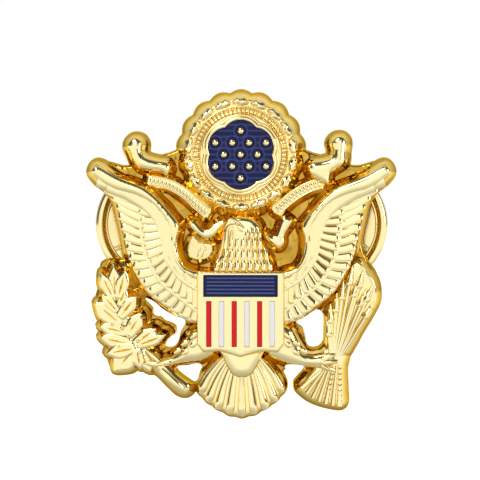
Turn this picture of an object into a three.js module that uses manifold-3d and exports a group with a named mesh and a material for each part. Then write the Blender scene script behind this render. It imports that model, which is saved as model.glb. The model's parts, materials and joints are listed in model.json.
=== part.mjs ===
// Two-post cap badge: a gold-plated eagle casting with colour-filled recesses,
// two pins on its back and a butterfly clutch on each pin.
// Millimetres. X to the emblem's right, Z up, the emblem faces -Y and the pins point along +Y.
// The origin is on the flat back face, midway between the two pins.

import * as THREE from 'three';
import { mergeVertices } from 'three/addons/utils/BufferGeometryUtils.js';
import Module from 'manifold-3d';

const wasm = await Module();
wasm.setup();

// Driving dimensions. Heights of the emblem are measured forward from its back face.
const plateHeight = 1.2;
const ribbonHeight = 1.9;
const lowReliefHeight = 2.2;
const wingHeight = 2.5;
const gloryHeight = 2.7;
const headHeight = 3.2;
const shieldHeight = 3.2;
const gloryCentre = [0, 6.3];
const gloryRadius = 5.1;
const gloryBaseRadius = 5.9;
const shieldHalfWidth = 3.9;
const shieldBorder = 0.45;
const chiefTop = -4.35;
const chiefBottom = -6.35;
const stripeTop = -6.7;
const stripeBottom = -10.8;
const stripeWidth = 0.5;
const stripeCount = 6;
const stripePitch = 1.13;
const studRadius = 0.3;
const lobeDistance = 1.4;
const lobeReach = 1.7;
const enamelDepth = 0.4;
const enamelSink = 0.05;
const fitGap = 0.02;
const pinSpacing = 15.3;
const pinRadius = 0.55;
const pinLength = 8.3;
const clutchStandoff = 1.2;
const clutchRadius = 5.75;
const clutchSheet = 0.3;
const cageLength = 5;
const cageWidth = 4.2;
const cageTop = 2.7;
const wingWidth = 3.4;

// Materials
function metal(color, roughness) {
  return new THREE.MeshStandardMaterial({ color, roughness, metalness: 1 });
}

function enamel(color) {
  return new THREE.MeshStandardMaterial({ color, roughness: 0.2, metalness: 0 });
}

// Solids
function toSolid(geometry) {
  const bare = geometry.clone();
  bare.deleteAttribute('normal');
  bare.deleteAttribute('uv');
  const merged = mergeVertices(bare, 1e-4);
  const vertProperties = new Float32Array(merged.attributes.position.array);
  const triVerts = new Uint32Array(merged.index.array);
  return new wasm.Manifold(new wasm.Mesh({ numProp: 3, vertProperties, triVerts }));
}

function toGeometry(solid) {
  const mesh = solid.getMesh();
  const geometry = new THREE.BufferGeometry();
  geometry.setAttribute('position', new THREE.BufferAttribute(mesh.vertProperties, 3));
  geometry.setIndex(new THREE.BufferAttribute(mesh.triVerts, 1));
  geometry.computeVertexNormals();
  return geometry;
}

function joined(solids) {
  return solids.reduce((sum, solid) => sum.add(solid));
}

// Outlines, drawn in X and Z as seen from the front
function polygon(points) {
  return new THREE.Shape(points.map(([x, z]) => new THREE.Vector2(x, z)));
}

function smooth(points, stepsPerPoint = 2) {
  const knots = points.map(([x, z]) => new THREE.Vector3(x, z, 0));
  const curve = new THREE.CatmullRomCurve3(knots, true, 'centripetal');
  const samples = curve.getPoints(points.length * stepsPerPoint).slice(0, -1);
  return new THREE.Shape(samples.map((p) => new THREE.Vector2(p.x, p.y)));
}

function circle(x, z, radius, sides) {
  const angles = Array.from({ length: sides }, (_, i) => (2 * Math.PI * i) / sides);
  return polygon(angles.map((a) => [x + radius * Math.cos(a), z + radius * Math.sin(a)]));
}

function mirrored(points) {
  return points.map(([x, z]) => [-x, z]).reverse();
}

// An outline made solid between two heights above the back face
function slab(shape, low, high) {
  const geometry = new THREE.ExtrudeGeometry(shape, { depth: high - low, bevelEnabled: false });
  geometry.translate(0, 0, low);
  geometry.rotateX(Math.PI / 2);
  return geometry;
}

function relief(shape, high) {
  return toSolid(slab(shape, 0, high));
}

function bothSides(points, high) {
  return [relief(smooth(points), high), relief(smooth(mirrored(points)), high)];
}

// Star field: six round lobes about a centre, with studs in rows of 1, 4, 3, 4 and 1
function hexafoil(inset) {
  const lobeRadius = lobeReach - inset;
  const sides = 48;
  const points = [];
  for (let i = 0; i < sides; i += 1) {
    const angle = (2 * Math.PI * i) / sides;
    const sector = Math.PI / 3;
    const fromLobe = ((angle + sector) % sector) - sector / 2;
    const across = lobeDistance * Math.sin(fromLobe);
    const radius = lobeDistance * Math.cos(fromLobe) + Math.sqrt(Math.max(lobeRadius ** 2 - across ** 2, 0));
    points.push([gloryCentre[0] + radius * Math.cos(angle), gloryCentre[1] + radius * Math.sin(angle)]);
  }
  return points;
}

function studCentres() {
  const rowPitch = 1.05;
  const studPitch = 1.5;
  const rows = [1, 4, 3, 4, 1];
  return rows.flatMap((count, row) =>
    Array.from({ length: count }, (_, i) => [
      gloryCentre[0] + (i - (count - 1) / 2) * studPitch,
      gloryCentre[1] + (2 - row) * rowPitch,
    ]),
  );
}

function starFieldEnamel() {
  const shape = polygon(hexafoil(fitGap));
  studCentres().forEach(([x, z]) => shape.holes.push(circle(x, z, studRadius + fitGap, 8)));
  return slab(shape, gloryHeight - enamelDepth + fitGap, gloryHeight - enamelSink);
}

// Shield fields: one chief above six stripes
function rectangle(left, right, bottom, top) {
  return polygon([[left, bottom], [right, bottom], [right, top], [left, top]]);
}

function chiefShape(inset) {
  const half = shieldHalfWidth - shieldBorder - inset;
  return rectangle(-half, half, chiefBottom + inset, chiefTop - inset);
}

function stripeShape(index, inset) {
  const centre = (index - (stripeCount - 1) / 2) * stripePitch;
  const half = stripeWidth / 2 - inset;
  return rectangle(centre - half, centre + half, stripeBottom + inset, stripeTop - inset);
}

function shieldFill(shape) {
  return slab(shape, shieldHeight - enamelDepth + fitGap, shieldHeight - enamelSink);
}

function stripes() {
  return Array.from({ length: stripeCount }, (_, i) => i);
}

// Emblem
const wingBase = [
  [-13.2, 6.3], [-14, 5], [-13.1, 3.6], [-11.8, 2.2], [-11.3, 0.9], [-10.8, -1.5], [-10.3, -3.3],
  [-9.5, -5], [-8.5, -6.5], [-7, -7.6], [-5.2, -8.7], [-3.4, -9.2], [-3.4, -3], [-4.6, 0.5],
  [-5.4, 4.2], [-9, 5.2], [-11.5, 6.1],
];
const wingRelief = [
  [-13, 5.5], [-9.6, 3.9], [-7.2, 2.2], [-5.8, 0.3], [-5.6, -2], [-4.9, -3.5], [-3.6, -4.1],
  [-3.6, -8.8], [-6, -7.8], [-8.3, -6.2], [-9.9, -3.9], [-10.7, -1.3], [-11.1, 0.3], [-11.6, 2],
  [-12.6, 3.6], [-13.5, 4.4],
];
const scrollEnd = [
  [-10.5, 6], [-10.6, 7.5], [-9.9, 8.3], [-8.5, 8.3], [-7.8, 7.5], [-7.7, 6.6], [-5.8, 6],
  [-5.6, 4.6], [-7.6, 4.2], [-9.6, 4.6],
];
const ribbedBand = [
  [-8.3, 4.7], [-6.8, 4.3], [-4.1, 2.8], [-2.6, 1.4], [-3.4, 0.4], [-6, 2.4], [-8.3, 3.6],
];
const foldedBand = [[-4.8, 0.4], [-4.1, 0.4], [-3.2, -0.5], [-1.6, 0.4], [-1.6, -0.3], [-2.6, -1.3], [-4, -1.1]];
const neckHalf = [[0, 0.9], [1.2, 0.6], [1.8, 0], [1.9, -1.5], [2.7, -2.9], [2.8, -4.2], [0, -4.2]];
const thigh = [
  [-3.4, -8.6], [-4.6, -9.5], [-5.4, -11.2], [-6.8, -12], [-8.1, -12.3], [-7.8, -12.9], [-5.2, -12.5],
  [-3.2, -12.4], [-2.4, -11.2],
];
const tailHalf = [[0, -11], [1.7, -11.4], [2.9, -12.6], [3.9, -14.3], [3.3, -15.4], [1.8, -16.5], [0, -17]];

function outlineFromHalf(half) {
  return half.concat(mirrored(half).filter(([x]) => x !== 0));
}

function grown(points, amount) {
  const centreZ = points.reduce((sum, [, z]) => sum + z, 0) / points.length;
  return points.map(([x, z]) => [x + Math.sign(x) * amount, z + Math.sign(z - centreZ) * amount]);
}

function centrePlate() {
  const half = [[0, 2], [6, 5], [5, -2], [4.3, -9], [3.4, -12], [0, -12.5]];
  return relief(polygon(outlineFromHalf(half)), plateHeight);
}

function glory() {
  const [x, z] = gloryCentre;
  return [
    relief(circle(x, z, gloryBaseRadius, 48), plateHeight),
    relief(circle(x, z, gloryRadius, 48), gloryHeight),
  ];
}

function shield() {
  const half = [
    [0, -11.7], [1.7, -11.2], [3.4, -11.3], [shieldHalfWidth, -10.6], [shieldHalfWidth, -4.1], [0, -4.1],
  ];
  return relief(polygon(outlineFromHalf(half)), shieldHeight);
}

function tail() {
  const front = outlineFromHalf(tailHalf);
  return [relief(smooth(front), lowReliefHeight), relief(smooth(grown(front, 0.4)), plateHeight)];
}

// Leaves: tip, base and half width of each
const leaves = [
  [[-11.4, -3.5], [-11.3, -5.9], 0.5], [[-12.6, -3.7], [-11.6, -5.7], 0.5], [[-10.3, -3.6], [-11, -5.8], 0.5],
  [[-13.1, -6.7], [-11.2, -8.2], 0.5], [[-12.4, -5.9], [-11.3, -7.6], 0.5], [[-9.4, -6.3], [-10.8, -7.9], 0.6],
  [[-8.8, -7.8], [-9.9, -9.6], 0.6], [[-6.6, -9.5], [-9.2, -10.6], 0.6], [[-12.8, -9.3], [-10.4, -10], 0.6],
  [[-12.3, -11.6], [-9.9, -11.2], 0.6], [[-11.6, -13.2], [-9.7, -11.5], 0.6],
];

function leafOutline([tip, base, half]) {
  const along = [base[0] - tip[0], base[1] - tip[1]];
  const length = Math.hypot(...along);
  const side = [(-along[1] / length) * half, (along[0] / length) * half];
  const at = (t, s) => [tip[0] + along[0] * t + side[0] * s, tip[1] + along[1] * t + side[1] * s];
  return [at(0, 0), at(0.3, 0.8), at(0.6, 1), at(1, 0.3), at(1, -0.3), at(0.6, -1), at(0.3, -0.8)];
}

function oliveBranch() {
  const plate = [
    [-10, -2.6], [-12.5, -2.9], [-13, -5], [-13.6, -6.9], [-13.3, -9], [-12.8, -11.3], [-11.7, -13.6],
    [-9, -13.4], [-6, -15.2], [-4.4, -15.4], [-3.6, -14.2], [-5.2, -13.4], [-6.6, -12.3], [-7, -11],
    [-5.7, -9.6], [-7.8, -8.1], [-8.8, -6.4], [-9.3, -4.2],
  ];
  const stalk = [[-11.6, -6], [-10.2, -10.2], [-7.6, -13], [-4.6, -15.2], [-4.3, -14.4], [-7, -12.6], [-9.6, -9.9]];
  return [
    relief(smooth(plate), plateHeight),
    relief(smooth(stalk), ribbonHeight),
    ...leaves.map((leaf) => relief(smooth(leafOutline(leaf)), lowReliefHeight)),
  ];
}

function arrowBundle() {
  const shafts = [
    [10.1, -3.3], [11.1, -3.6], [11.9, -5.3], [12.1, -6.8], [11.8, -7.8], [9.6, -11.4], [9.4, -13],
    [9.4, -16.4], [7.5, -16.2], [6, -15.6], [5.3, -14.4], [6.6, -12.9], [7.7, -11.4], [7.8, -8.2], [9.2, -5.5],
  ];
  const plate = [
    [9.9, -2.4], [11.6, -3], [12.8, -5.5], [12.7, -7], [10.8, -9.6], [9.9, -11.5], [9.7, -16.4],
    [8.8, -16.9], [6.3, -16.2], [4.7, -14.9], [4.9, -13.8], [6, -12.6], [7, -11.4], [7.4, -8.2], [8.6, -6],
    [9.4, -3.6],
  ];
  return [relief(smooth(plate), plateHeight), relief(smooth(shafts), lowReliefHeight)];
}

function pierced() {
  const leftWindow = [
    [-8.5, -6.7], [-7.2, -7.7], [-5.2, -8.8], [-5.6, -10.2], [-6.1, -11], [-6.8, -11], [-5.8, -9.7],
    [-6.2, -8.9], [-7.8, -8.2],
  ];
  const rightWindow = [[7, -7.8], [7.4, -8.6], [7.2, -10.6], [6.2, -11], [5.8, -9.7], [5.2, -8.8]];
  const lowWindow = [[-5.6, -13], [-3.9, -12.8], [-4.2, -14.1], [-5.1, -13.6]];
  const outlines = [leftWindow, rightWindow, lowWindow, mirrored(lowWindow)];
  return joined(outlines.map((outline) => relief(polygon(outline), shieldHeight)));
}

function enamelRecesses() {
  const glassBed = toSolid(slab(polygon(hexafoil(0)), gloryHeight - enamelDepth, headHeight));
  const chief = toSolid(slab(chiefShape(0), shieldHeight - enamelDepth, shieldHeight + 1));
  const bars = stripes().map((i) => toSolid(slab(stripeShape(i, 0), shieldHeight - enamelDepth, shieldHeight + 1)));
  return joined([glassBed, chief, ...bars]);
}

function studs() {
  return joined(studCentres().map(([x, z]) => relief(circle(x, z, studRadius, 8), gloryHeight)));
}

function badgeCasting() {
  const raised = joined([
    centrePlate(),
    ...glory(),
    ...bothSides(wingBase, plateHeight),
    ...bothSides(wingRelief, wingHeight),
    ...bothSides(scrollEnd, lowReliefHeight),
    ...bothSides(ribbedBand, ribbonHeight),
    ...bothSides(foldedBand, ribbonHeight),
    ...bothSides(thigh, ribbonHeight),
    relief(smooth(outlineFromHalf(neckHalf)), headHeight),
    shield(),
    ...tail(),
    ...oliveBranch(),
    ...arrowBundle(),
  ]);
  return toGeometry(raised.subtract(pierced()).subtract(enamelRecesses()).add(studs()));
}

// Pin: soldered flange, round shank with a grip groove, and a pointed end
function pin() {
  const flangeRadius = 2;
  const flangeHeight = 0.35;
  const groove = 0.08;
  const profile = [
    [0, fitGap], [flangeRadius, fitGap], [flangeRadius, flangeHeight], [pinRadius + 0.3, flangeHeight + 0.05],
    [pinRadius, flangeHeight + 0.25], [pinRadius, pinLength - 2], [pinRadius - groove, pinLength - 1.9],
    [pinRadius - groove, pinLength - 1.5], [pinRadius, pinLength - 1.4], [pinRadius, pinLength - 1.1],
    [0, pinLength],
  ];
  return new THREE.LatheGeometry(profile.map(([r, y]) => new THREE.Vector2(r, y)), 20);
}

// Clutch pieces, each drawn about the pin's axis with the rim's front edge at zero
function ring(profile, segments) {
  const closed = profile.concat([profile[0]]);
  return new THREE.LatheGeometry(closed.map(([r, y]) => new THREE.Vector2(r, y)), segments);
}

const ferruleBore = 0.62;
const ferruleRadius = 1;
const discFront = 0.4;
const discBack = discFront + clutchSheet;

function ferrule() {
  const flange = 1.5;
  return ring([
    [ferruleBore, 0.15], [flange, 0.15], [flange, 0.35], [ferruleRadius, 0.35], [ferruleRadius, 0.95],
    [ferruleBore, 0.95],
  ], 24);
}

function discWithRidges() {
  const bore = ferruleRadius + 0.05;
  const rimInside = clutchRadius - 0.8;
  const plate = toSolid(ring([
    [bore, discFront], [rimInside - 0.3, discFront], [rimInside, 0.1], [clutchRadius - 0.4, 0],
    [clutchRadius, 0.3], [clutchRadius, 0.6], [clutchRadius - 0.4, 0.85], [rimInside, discBack], [bore, discBack],
  ], 48));
  const ridgeCount = 6;
  const ridges = Array.from({ length: ridgeCount }, (_, i) => {
    const ridge = new THREE.BoxGeometry(3.1, 0.3, 0.3);
    ridge.translate(3.25, discFront, 0);
    ridge.rotateY((2 * Math.PI * (i + 0.5)) / ridgeCount);
    return toSolid(ridge);
  });
  return toGeometry(joined([plate, ...ridges]));
}

function box(low, high) {
  const size = high.map((value, i) => value - low[i]);
  const geometry = new THREE.BoxGeometry(...size);
  geometry.translate(...low.map((value, i) => value + size[i] / 2));
  return geometry;
}

function cage() {
  const foot = discBack + fitGap;
  const halfLength = cageLength / 2;
  const halfWidth = cageWidth / 2;
  const outside = toSolid(box([-halfLength, foot, -halfWidth], [halfLength, cageTop, halfWidth]));
  const inside = toSolid(box(
    [-halfLength - 1, foot - 1, -halfWidth + clutchSheet],
    [halfLength + 1, cageTop - clutchSheet, halfWidth - clutchSheet],
  ));
  const hole = new THREE.CylinderGeometry(0.9, 0.9, 2, 24);
  hole.translate(0, cageTop, 0);
  return toGeometry(outside.subtract(inside).subtract(toSolid(hole)));
}

function gripSpring() {
  const plate = toSolid(box([-1.6, 1.8, -1.5], [1.6, 2, 1.5]));
  const eye = new THREE.CylinderGeometry(ferruleBore, ferruleBore, 2, 24);
  eye.translate(0, 1.9, 0);
  return toGeometry(plate.subtract(toSolid(eye)));
}

// One wing: a bent strip from its foot inside the cage, out of the cage's end and up to a flared tip
function wing(side) {
  const path = new THREE.SplineCurve([
    [1.25, 1.4], [2.3, 1.4], [3, 1.8], [3.4, 2.8], [3.8, 4.2], [4.4, 5.3], [5.2, 5.7],
  ].map(([x, y]) => new THREE.Vector2(x, y)));
  const steps = 16;
  const outer = [];
  const inner = [];
  for (let i = 0; i <= steps; i += 1) {
    const point = path.getPoint(i / steps);
    const tangent = path.getTangent(i / steps);
    const offset = new THREE.Vector2(tangent.y, -tangent.x).multiplyScalar(clutchSheet / 2);
    outer.push(point.clone().add(offset));
    inner.unshift(point.clone().sub(offset));
  }
  const strip = new THREE.Shape(outer.concat(inner));
  const geometry = new THREE.ExtrudeGeometry(strip, { depth: wingWidth, bevelEnabled: false });
  geometry.translate(0, 0, -wingWidth / 2);
  if (side < 0) geometry.rotateY(Math.PI);
  return geometry;
}

// Assembly
function named(name, geometry, material) {
  const mesh = new THREE.Mesh(geometry, material);
  mesh.name = name;
  return mesh;
}

function clutch(side) {
  const group = new THREE.Group();
  const plated = metal(0xe3c070, 0.18);
  group.add(named(`${side}_clutch_ferrule`, ferrule(), metal(0xd9b460, 0.25)));
  group.add(named(`${side}_clutch_disc`, discWithRidges(), plated));
  group.add(named(`${side}_clutch_cage`, cage(), metal(0xdcb868, 0.22)));
  group.add(named(`${side}_clutch_grip_spring`, gripSpring(), metal(0xb8b4a8, 0.3)));
  group.add(named(`${side}_clutch_inner_wing`, wing(side === 'left' ? 1 : -1), plated.clone()));
  group.add(named(`${side}_clutch_outer_wing`, wing(side === 'left' ? -1 : 1), plated.clone()));
  group.position.set(side === 'left' ? -pinSpacing / 2 : pinSpacing / 2, clutchStandoff, 0);
  return group;
}

const badge = new THREE.Group();
badge.add(named('badge_casting', badgeCasting(), metal(0xe6c474, 0.15)));
badge.add(named('star_field_enamel', starFieldEnamel(), enamel(0x20285c)));
badge.add(named('chief_enamel', shieldFill(chiefShape(fitGap)), enamel(0x232a5e)));
stripes().forEach((i) => {
  const colourName = i % 2 === 0 ? 'red' : 'white';
  const colour = i % 2 === 0 ? 0xc4121f : 0xe8e2ee;
  const number = Math.floor(i / 2) + 1;
  badge.add(named(`${colourName}_stripe_enamel_${number}`, shieldFill(stripeShape(i, fitGap)), enamel(colour)));
});
['left', 'right'].forEach((side) => {
  const post = named(`${side}_pin`, pin(), metal(0xd6b060, 0.25));
  post.position.x = side === 'left' ? -pinSpacing / 2 : pinSpacing / 2;
  badge.add(post);
  badge.add(clutch(side));
});

export default badge;
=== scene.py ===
import json
import math

import bmesh
import bpy
import numpy as np
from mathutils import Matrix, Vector
from mathutils.geometry import delaunay_2d_cdt

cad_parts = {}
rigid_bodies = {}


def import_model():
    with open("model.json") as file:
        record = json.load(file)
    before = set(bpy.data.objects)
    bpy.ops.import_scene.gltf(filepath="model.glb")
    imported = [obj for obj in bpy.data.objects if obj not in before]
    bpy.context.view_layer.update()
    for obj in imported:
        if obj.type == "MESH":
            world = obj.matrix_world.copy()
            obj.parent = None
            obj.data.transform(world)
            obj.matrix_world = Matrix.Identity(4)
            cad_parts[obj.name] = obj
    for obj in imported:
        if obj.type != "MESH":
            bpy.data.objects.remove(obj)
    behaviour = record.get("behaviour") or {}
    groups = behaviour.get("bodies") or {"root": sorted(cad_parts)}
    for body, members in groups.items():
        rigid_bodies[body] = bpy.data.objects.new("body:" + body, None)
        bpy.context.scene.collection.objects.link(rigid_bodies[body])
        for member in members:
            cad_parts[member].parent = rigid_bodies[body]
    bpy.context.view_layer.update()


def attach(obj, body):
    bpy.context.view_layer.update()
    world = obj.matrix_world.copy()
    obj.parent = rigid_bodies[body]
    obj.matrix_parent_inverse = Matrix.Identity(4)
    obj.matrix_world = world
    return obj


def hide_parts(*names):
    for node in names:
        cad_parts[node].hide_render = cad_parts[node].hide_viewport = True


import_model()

mm = 0.001    # outlines are in millimetres, in X and Z of the CAD frame; heights grow forward, towards -Y
scene = bpy.context.scene


# outlines

def throughPoints(points, closed=True, pitch=0.16):    # smooth curve through given points, evenly stepped
    pts = [np.array(p, float) for p in points]
    last = pts[-1]
    if closed:
        pts = [last] + pts + pts[:2]
    else:
        pts = [2 * pts[0] - pts[1]] + pts + [2 * last - pts[-2]]
    out = []
    for p0, p1, p2, p3 in zip(pts, pts[1:], pts[2:], pts[3:]):
        t1 = np.linalg.norm((p1 - p0)[:2]) ** 0.5
        t2 = t1 + np.linalg.norm((p2 - p1)[:2]) ** 0.5
        t3 = t2 + np.linalg.norm((p3 - p2)[:2]) ** 0.5
        steps = max(2, int(np.linalg.norm((p2 - p1)[:2]) / pitch + 0.5))
        for k in range(steps):
            t = t1 + (t2 - t1) * k / steps
            a1 = p0 * (t1 - t) / t1 + p1 * t / t1
            a2 = p1 * (t2 - t) / (t2 - t1) + p2 * (t - t1) / (t2 - t1)
            a3 = p2 * (t3 - t) / (t3 - t2) + p3 * (t - t2) / (t3 - t2)
            b1 = a1 * (t2 - t) / t2 + a2 * t / t2
            b2 = a2 * (t3 - t) / (t3 - t1) + a3 * (t - t1) / (t3 - t1)
            out.append(b1 * (t2 - t) / (t2 - t1) + b2 * (t - t1) / (t2 - t1))
    if not closed:
        out.append(last)
    return np.array(out)


def roundedCorners(points, radius=0.2, pitch=0.16):    # straight sides with small curves at the corners
    pts = [np.array(p, float) for p in points]
    bends = []
    for i, corner in enumerate(pts):
        before, after = pts[i - 1] - corner, pts[(i + 1) % len(pts)] - corner
        cut = min(radius, 0.45 * np.linalg.norm(before), 0.45 * np.linalg.norm(after))
        start = corner + before / np.linalg.norm(before) * cut
        end = corner + after / np.linalg.norm(after) * cut
        bends.append([(1 - t) ** 2 * start + 2 * t * (1 - t) * corner + t * t * end
                      for t in (0, 0.25, 0.5, 0.75, 1)])
    out = []
    for bend, following in zip(bends, bends[1:] + bends[:1]):
        side = following[0] - bend[-1]
        steps = int(np.linalg.norm(side) / pitch)
        out += bend + [bend[-1] + side * k / (steps + 1) for k in range(1, steps + 1)]
    return np.array(out)


def mirrored(points):
    return [(-p[0],) + tuple(p[1:]) for p in reversed(points)]


def bothHalves(half):    # half outline from the centre line round to the centre line
    return list(half) + [p for p in mirrored(half) if abs(p[0]) > 1e-6]


def counterClockwise(loop):
    loop = np.asarray(loop, float)[:, :2]
    x, z = loop[:, 0], loop[:, 1]
    area = np.sum(x * np.roll(z, -1) - np.roll(x, -1) * z)
    return loop if area > 0 else loop[::-1].copy()


def unitRows(rows):
    return rows / (np.linalg.norm(rows, axis=1)[:, None] + 1e-12)


def outwardNormals(loop):
    tangent = unitRows(unitRows(loop - np.roll(loop, 1, 0)) + unitRows(np.roll(loop, -1, 0) - loop))
    return np.stack([tangent[:, 1], -tangent[:, 0]], 1)


def insideLoop(points, loop):
    x, z = points[:, 0][:, None], points[:, 1][:, None]
    ax, az = loop[:, 0][None], loop[:, 1][None]
    bx, bz = np.roll(loop[:, 0], -1)[None], np.roll(loop[:, 1], -1)[None]
    crosses = ((az > z) != (bz > z)) & (x < (bx - ax) * (z - az) / (bz - az + 1e-15) + ax)
    return crosses.sum(1) % 2 == 1


def distanceToLoop(points, loop):
    span = np.roll(loop, -1, 0) - loop
    length = (span ** 2).sum(1) + 1e-15
    best = np.full(len(points), 1e9)
    for k in range(0, len(points), 2000):    # in batches, to spare memory
        rel = points[k:k + 2000, None, :] - loop[None]
        t = np.clip((rel * span[None]).sum(2) / length[None], 0, 1)
        gap = rel - t[..., None] * span[None]
        best[k:k + 2000] = np.sqrt((gap ** 2).sum(2).min(1))
    return best


def along(curve, u):    # the point at a share u of a curve's length
    steps = np.linalg.norm(np.diff(curve, axis=0), axis=1)
    reach = np.concatenate([[0], np.cumsum(steps)])
    return np.array([np.interp(u * reach[-1], reach, curve[:, k]) for k in range(curve.shape[1])])


# meshes

def newObject(name, data):
    piece = bpy.data.objects.new(name, data)
    scene.collection.objects.link(piece)
    return piece


def softShade(piece, angle=35):
    piece.data.polygons.foreach_set("use_smooth", [True] * len(piece.data.polygons))
    piece.data.set_sharp_from_angle(angle=math.radians(angle))
    return piece


def meshObject(name, verts, faces, smoothAngle=35):    # verts as x, height, z in millimetres
    data = bpy.data.meshes.new(name)
    data.from_pydata([(x * mm, -h * mm, z * mm) for x, h, z in verts], [], faces)
    data.update()
    return softShade(newObject(name, data), smoothAngle)


# share of the flare, height: a steep wall that rolls over into a rounded foot
wallSteps = [(0.22, 1.55), (0.36, 1.3), (0.56, 1.17), (0.76, 0.98), (0.91, 0.7), (1.0, 0.35), (1.0, 0.0)]
footSteps = [(0.2, 1.85), (0.42, 1.5), (0.66, 1.15), (0.86, 0.82), (0.97, 0.5), (1.0, 0.25), (1.0, 0.0)]


def frontMesh(ring, normals, shoulder, grid):    # flat triangles inside an outline, fine along its shoulder
    seeds = []
    for turn in (30, 60, 88):
        deepest = min(shoulder * (1 - math.cos(math.radians(turn))), 0.25)
        seeds.append(ring - normals * deepest)
    lowX, lowZ = ring.min(0)
    highX, highZ = ring.max(0)
    rows = np.arange(lowZ, highZ, grid * 0.866)
    field = np.array([(x + (grid / 2 if k % 2 else 0), z) for k, z in enumerate(rows)
                      for x in np.arange(lowX, highX, grid)])
    field = field[insideLoop(field, ring)]
    if len(field):
        seeds.append(field[distanceToLoop(field, ring) > deepest + 0.45 * grid])
    seeds = np.concatenate(seeds)
    seeds = np.concatenate([ring, seeds[insideLoop(seeds, ring)]])
    edges = [(i, (i + 1) % len(ring)) for i in range(len(ring))]
    result = delaunay_2d_cdt([Vector(p) for p in seeds], edges, [], 0, 1e-6)
    flat = np.array([tuple(v) for v in result[0]])
    corners = flat[np.array([tuple(f) for f in result[2]])]
    sides = corners[:, 1:] - corners[:, :1]
    areas = np.abs(sides[:, 0, 0] * sides[:, 1, 1] - sides[:, 0, 1] * sides[:, 1, 0])
    keep = insideLoop(corners.mean(1), ring) & (areas > 1e-7)
    faces = [tuple(f) for f, kept in zip(result[2], keep) if kept]
    rim = {o: new for new, old in enumerate(result[3]) for o in old if o < len(ring)}
    return flat, faces, [rim[i] for i in range(len(ring))]


def slab(name, outline, high, low=0.0, shoulder=0.16, drop=None, draft=0.3, crown=0.0, grid=0.22, flare=0.6,
         foot=None, relief=None):
    # closed shell: rounded shoulder and a front whose height follows the distance from its edge
    ring = counterClockwise(outline)
    normals = outwardNormals(ring)
    drop = drop or shoulder
    flat, faces, above = frontMesh(ring, normals, shoulder, grid)
    away = distanceToLoop(flat, ring)
    away[above] = 0
    rounding = shoulder - np.minimum(away, shoulder)
    height = high - drop + drop * np.sqrt(np.maximum(1 - (rounding / shoulder) ** 2, 0))
    height += crown * (1 - np.exp(-np.maximum(away - shoulder, 0) / 0.9))
    if relief:
        height += relief(flat[:, 0], flat[:, 1], away)
    verts = [(x, h, z) for (x, z), h in zip(flat, height)]
    if foot is not None:
        edges = [(ring + (counterClockwise(foot) - ring) * share, level) for share, level in footSteps]
    elif low == 0.0:
        highest = high - drop - 0.05
        edges = [(ring + normals * share * flare, level) for share, level in wallSteps if level < highest]
    else:
        edges = [(ring + normals * draft * (high - drop - low), low)]
    count = len(ring)
    for edge, level in edges:
        below = list(range(len(verts), len(verts) + count))
        verts += [(x, level, z) for x, z in edge]
        faces += [(above[i], below[i], below[(i + 1) % count], above[(i + 1) % count]) for i in range(count)]
        above = below
    faces.append(tuple(reversed(above)))
    used = sorted({i for f in faces for i in f})
    renumber = {old: new for new, old in enumerate(used)}
    return meshObject(name, [verts[i] for i in used], [tuple(renumber[i] for i in f) for f in faces])


def prism(name, outline, low, high, taper=0.0):    # a plain cutter, wider in front by its taper
    ring = counterClockwise(outline)
    wide = ring + outwardNormals(ring) * taper
    count = len(ring)
    verts = [(x, high, z) for x, z in wide] + [(x, low, z) for x, z in ring]
    faces = [tuple(range(count)), tuple(reversed(range(count, 2 * count)))]
    faces += [(i, count + i, count + (i + 1) % count, (i + 1) % count) for i in range(count)]
    return meshObject(name, verts, faces)


def frozen(name, holder):    # the evaluated shape as a plain mesh on a new object
    bpy.context.view_layer.update()
    data = bpy.data.meshes.new_from_object(holder.evaluated_get(bpy.context.evaluated_depsgraph_get()))
    data.name = name
    return newObject(name, data)


def discard(objects):
    for item in objects:
        data = item.data
        bpy.data.objects.remove(item)
        if data.users == 0:
            bpy.data.meshes.remove(data)


def fuse(name, shells, cutters=(), angle=32):    # one solid from overlapping shells, less the cutters
    base = shells[0]
    for other, operation in [(s, "UNION") for s in shells[1:]] + [(c, "DIFFERENCE") for c in cutters]:
        joint = base.modifiers.new(other.name, "BOOLEAN")
        joint.solver = "MANIFOLD"
        joint.operation = operation
        joint.object = other
    piece = frozen(name, base)
    discard(list(shells) + list(cutters))
    return softShade(piece, angle)


def joined(name, parts):    # several closed shells carried as one piece
    verts, faces = [], []
    for part in parts:
        start = len(verts)
        verts += [tuple(v.co) for v in part.data.vertices]
        faces += [tuple(start + i for i in p.vertices) for p in part.data.polygons]
    data = bpy.data.meshes.new(name)
    data.from_pydata(verts, [], faces)
    data.update()
    discard(parts)
    return softShade(newObject(name, data), 40)


# node trees

def addNode(tree, kind, values=None, **settings):    # a value that is another node's socket is linked
    node = tree.nodes.new(kind)
    for key, value in settings.items():
        setattr(node, key, value)
    for key, value in (values or {}).items():
        if isinstance(value, bpy.types.NodeSocket):
            tree.links.new(value, node.inputs[key])
        else:
            node.inputs[key].default_value = value
    return node


def calculate(tree, operation, *values, clamp=False):
    node = addNode(tree, "ShaderNodeMath", dict(enumerate(values)), operation=operation, use_clamp=clamp)
    return node.outputs[0]


def newGroup(name, kind, inputs, outputs):
    tree = bpy.data.node_groups.new(name, kind)
    for label, socketType, value in inputs:
        socket = tree.interface.new_socket(name=label, in_out="INPUT", socket_type="NodeSocket" + socketType)
        if value is not None:
            socket.default_value = value
    for label, socketType in outputs:
        tree.interface.new_socket(name=label, in_out="OUTPUT", socket_type="NodeSocket" + socketType)
    return tree, tree.nodes.new("NodeGroupInput").outputs, tree.nodes.new("NodeGroupOutput").inputs


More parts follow.
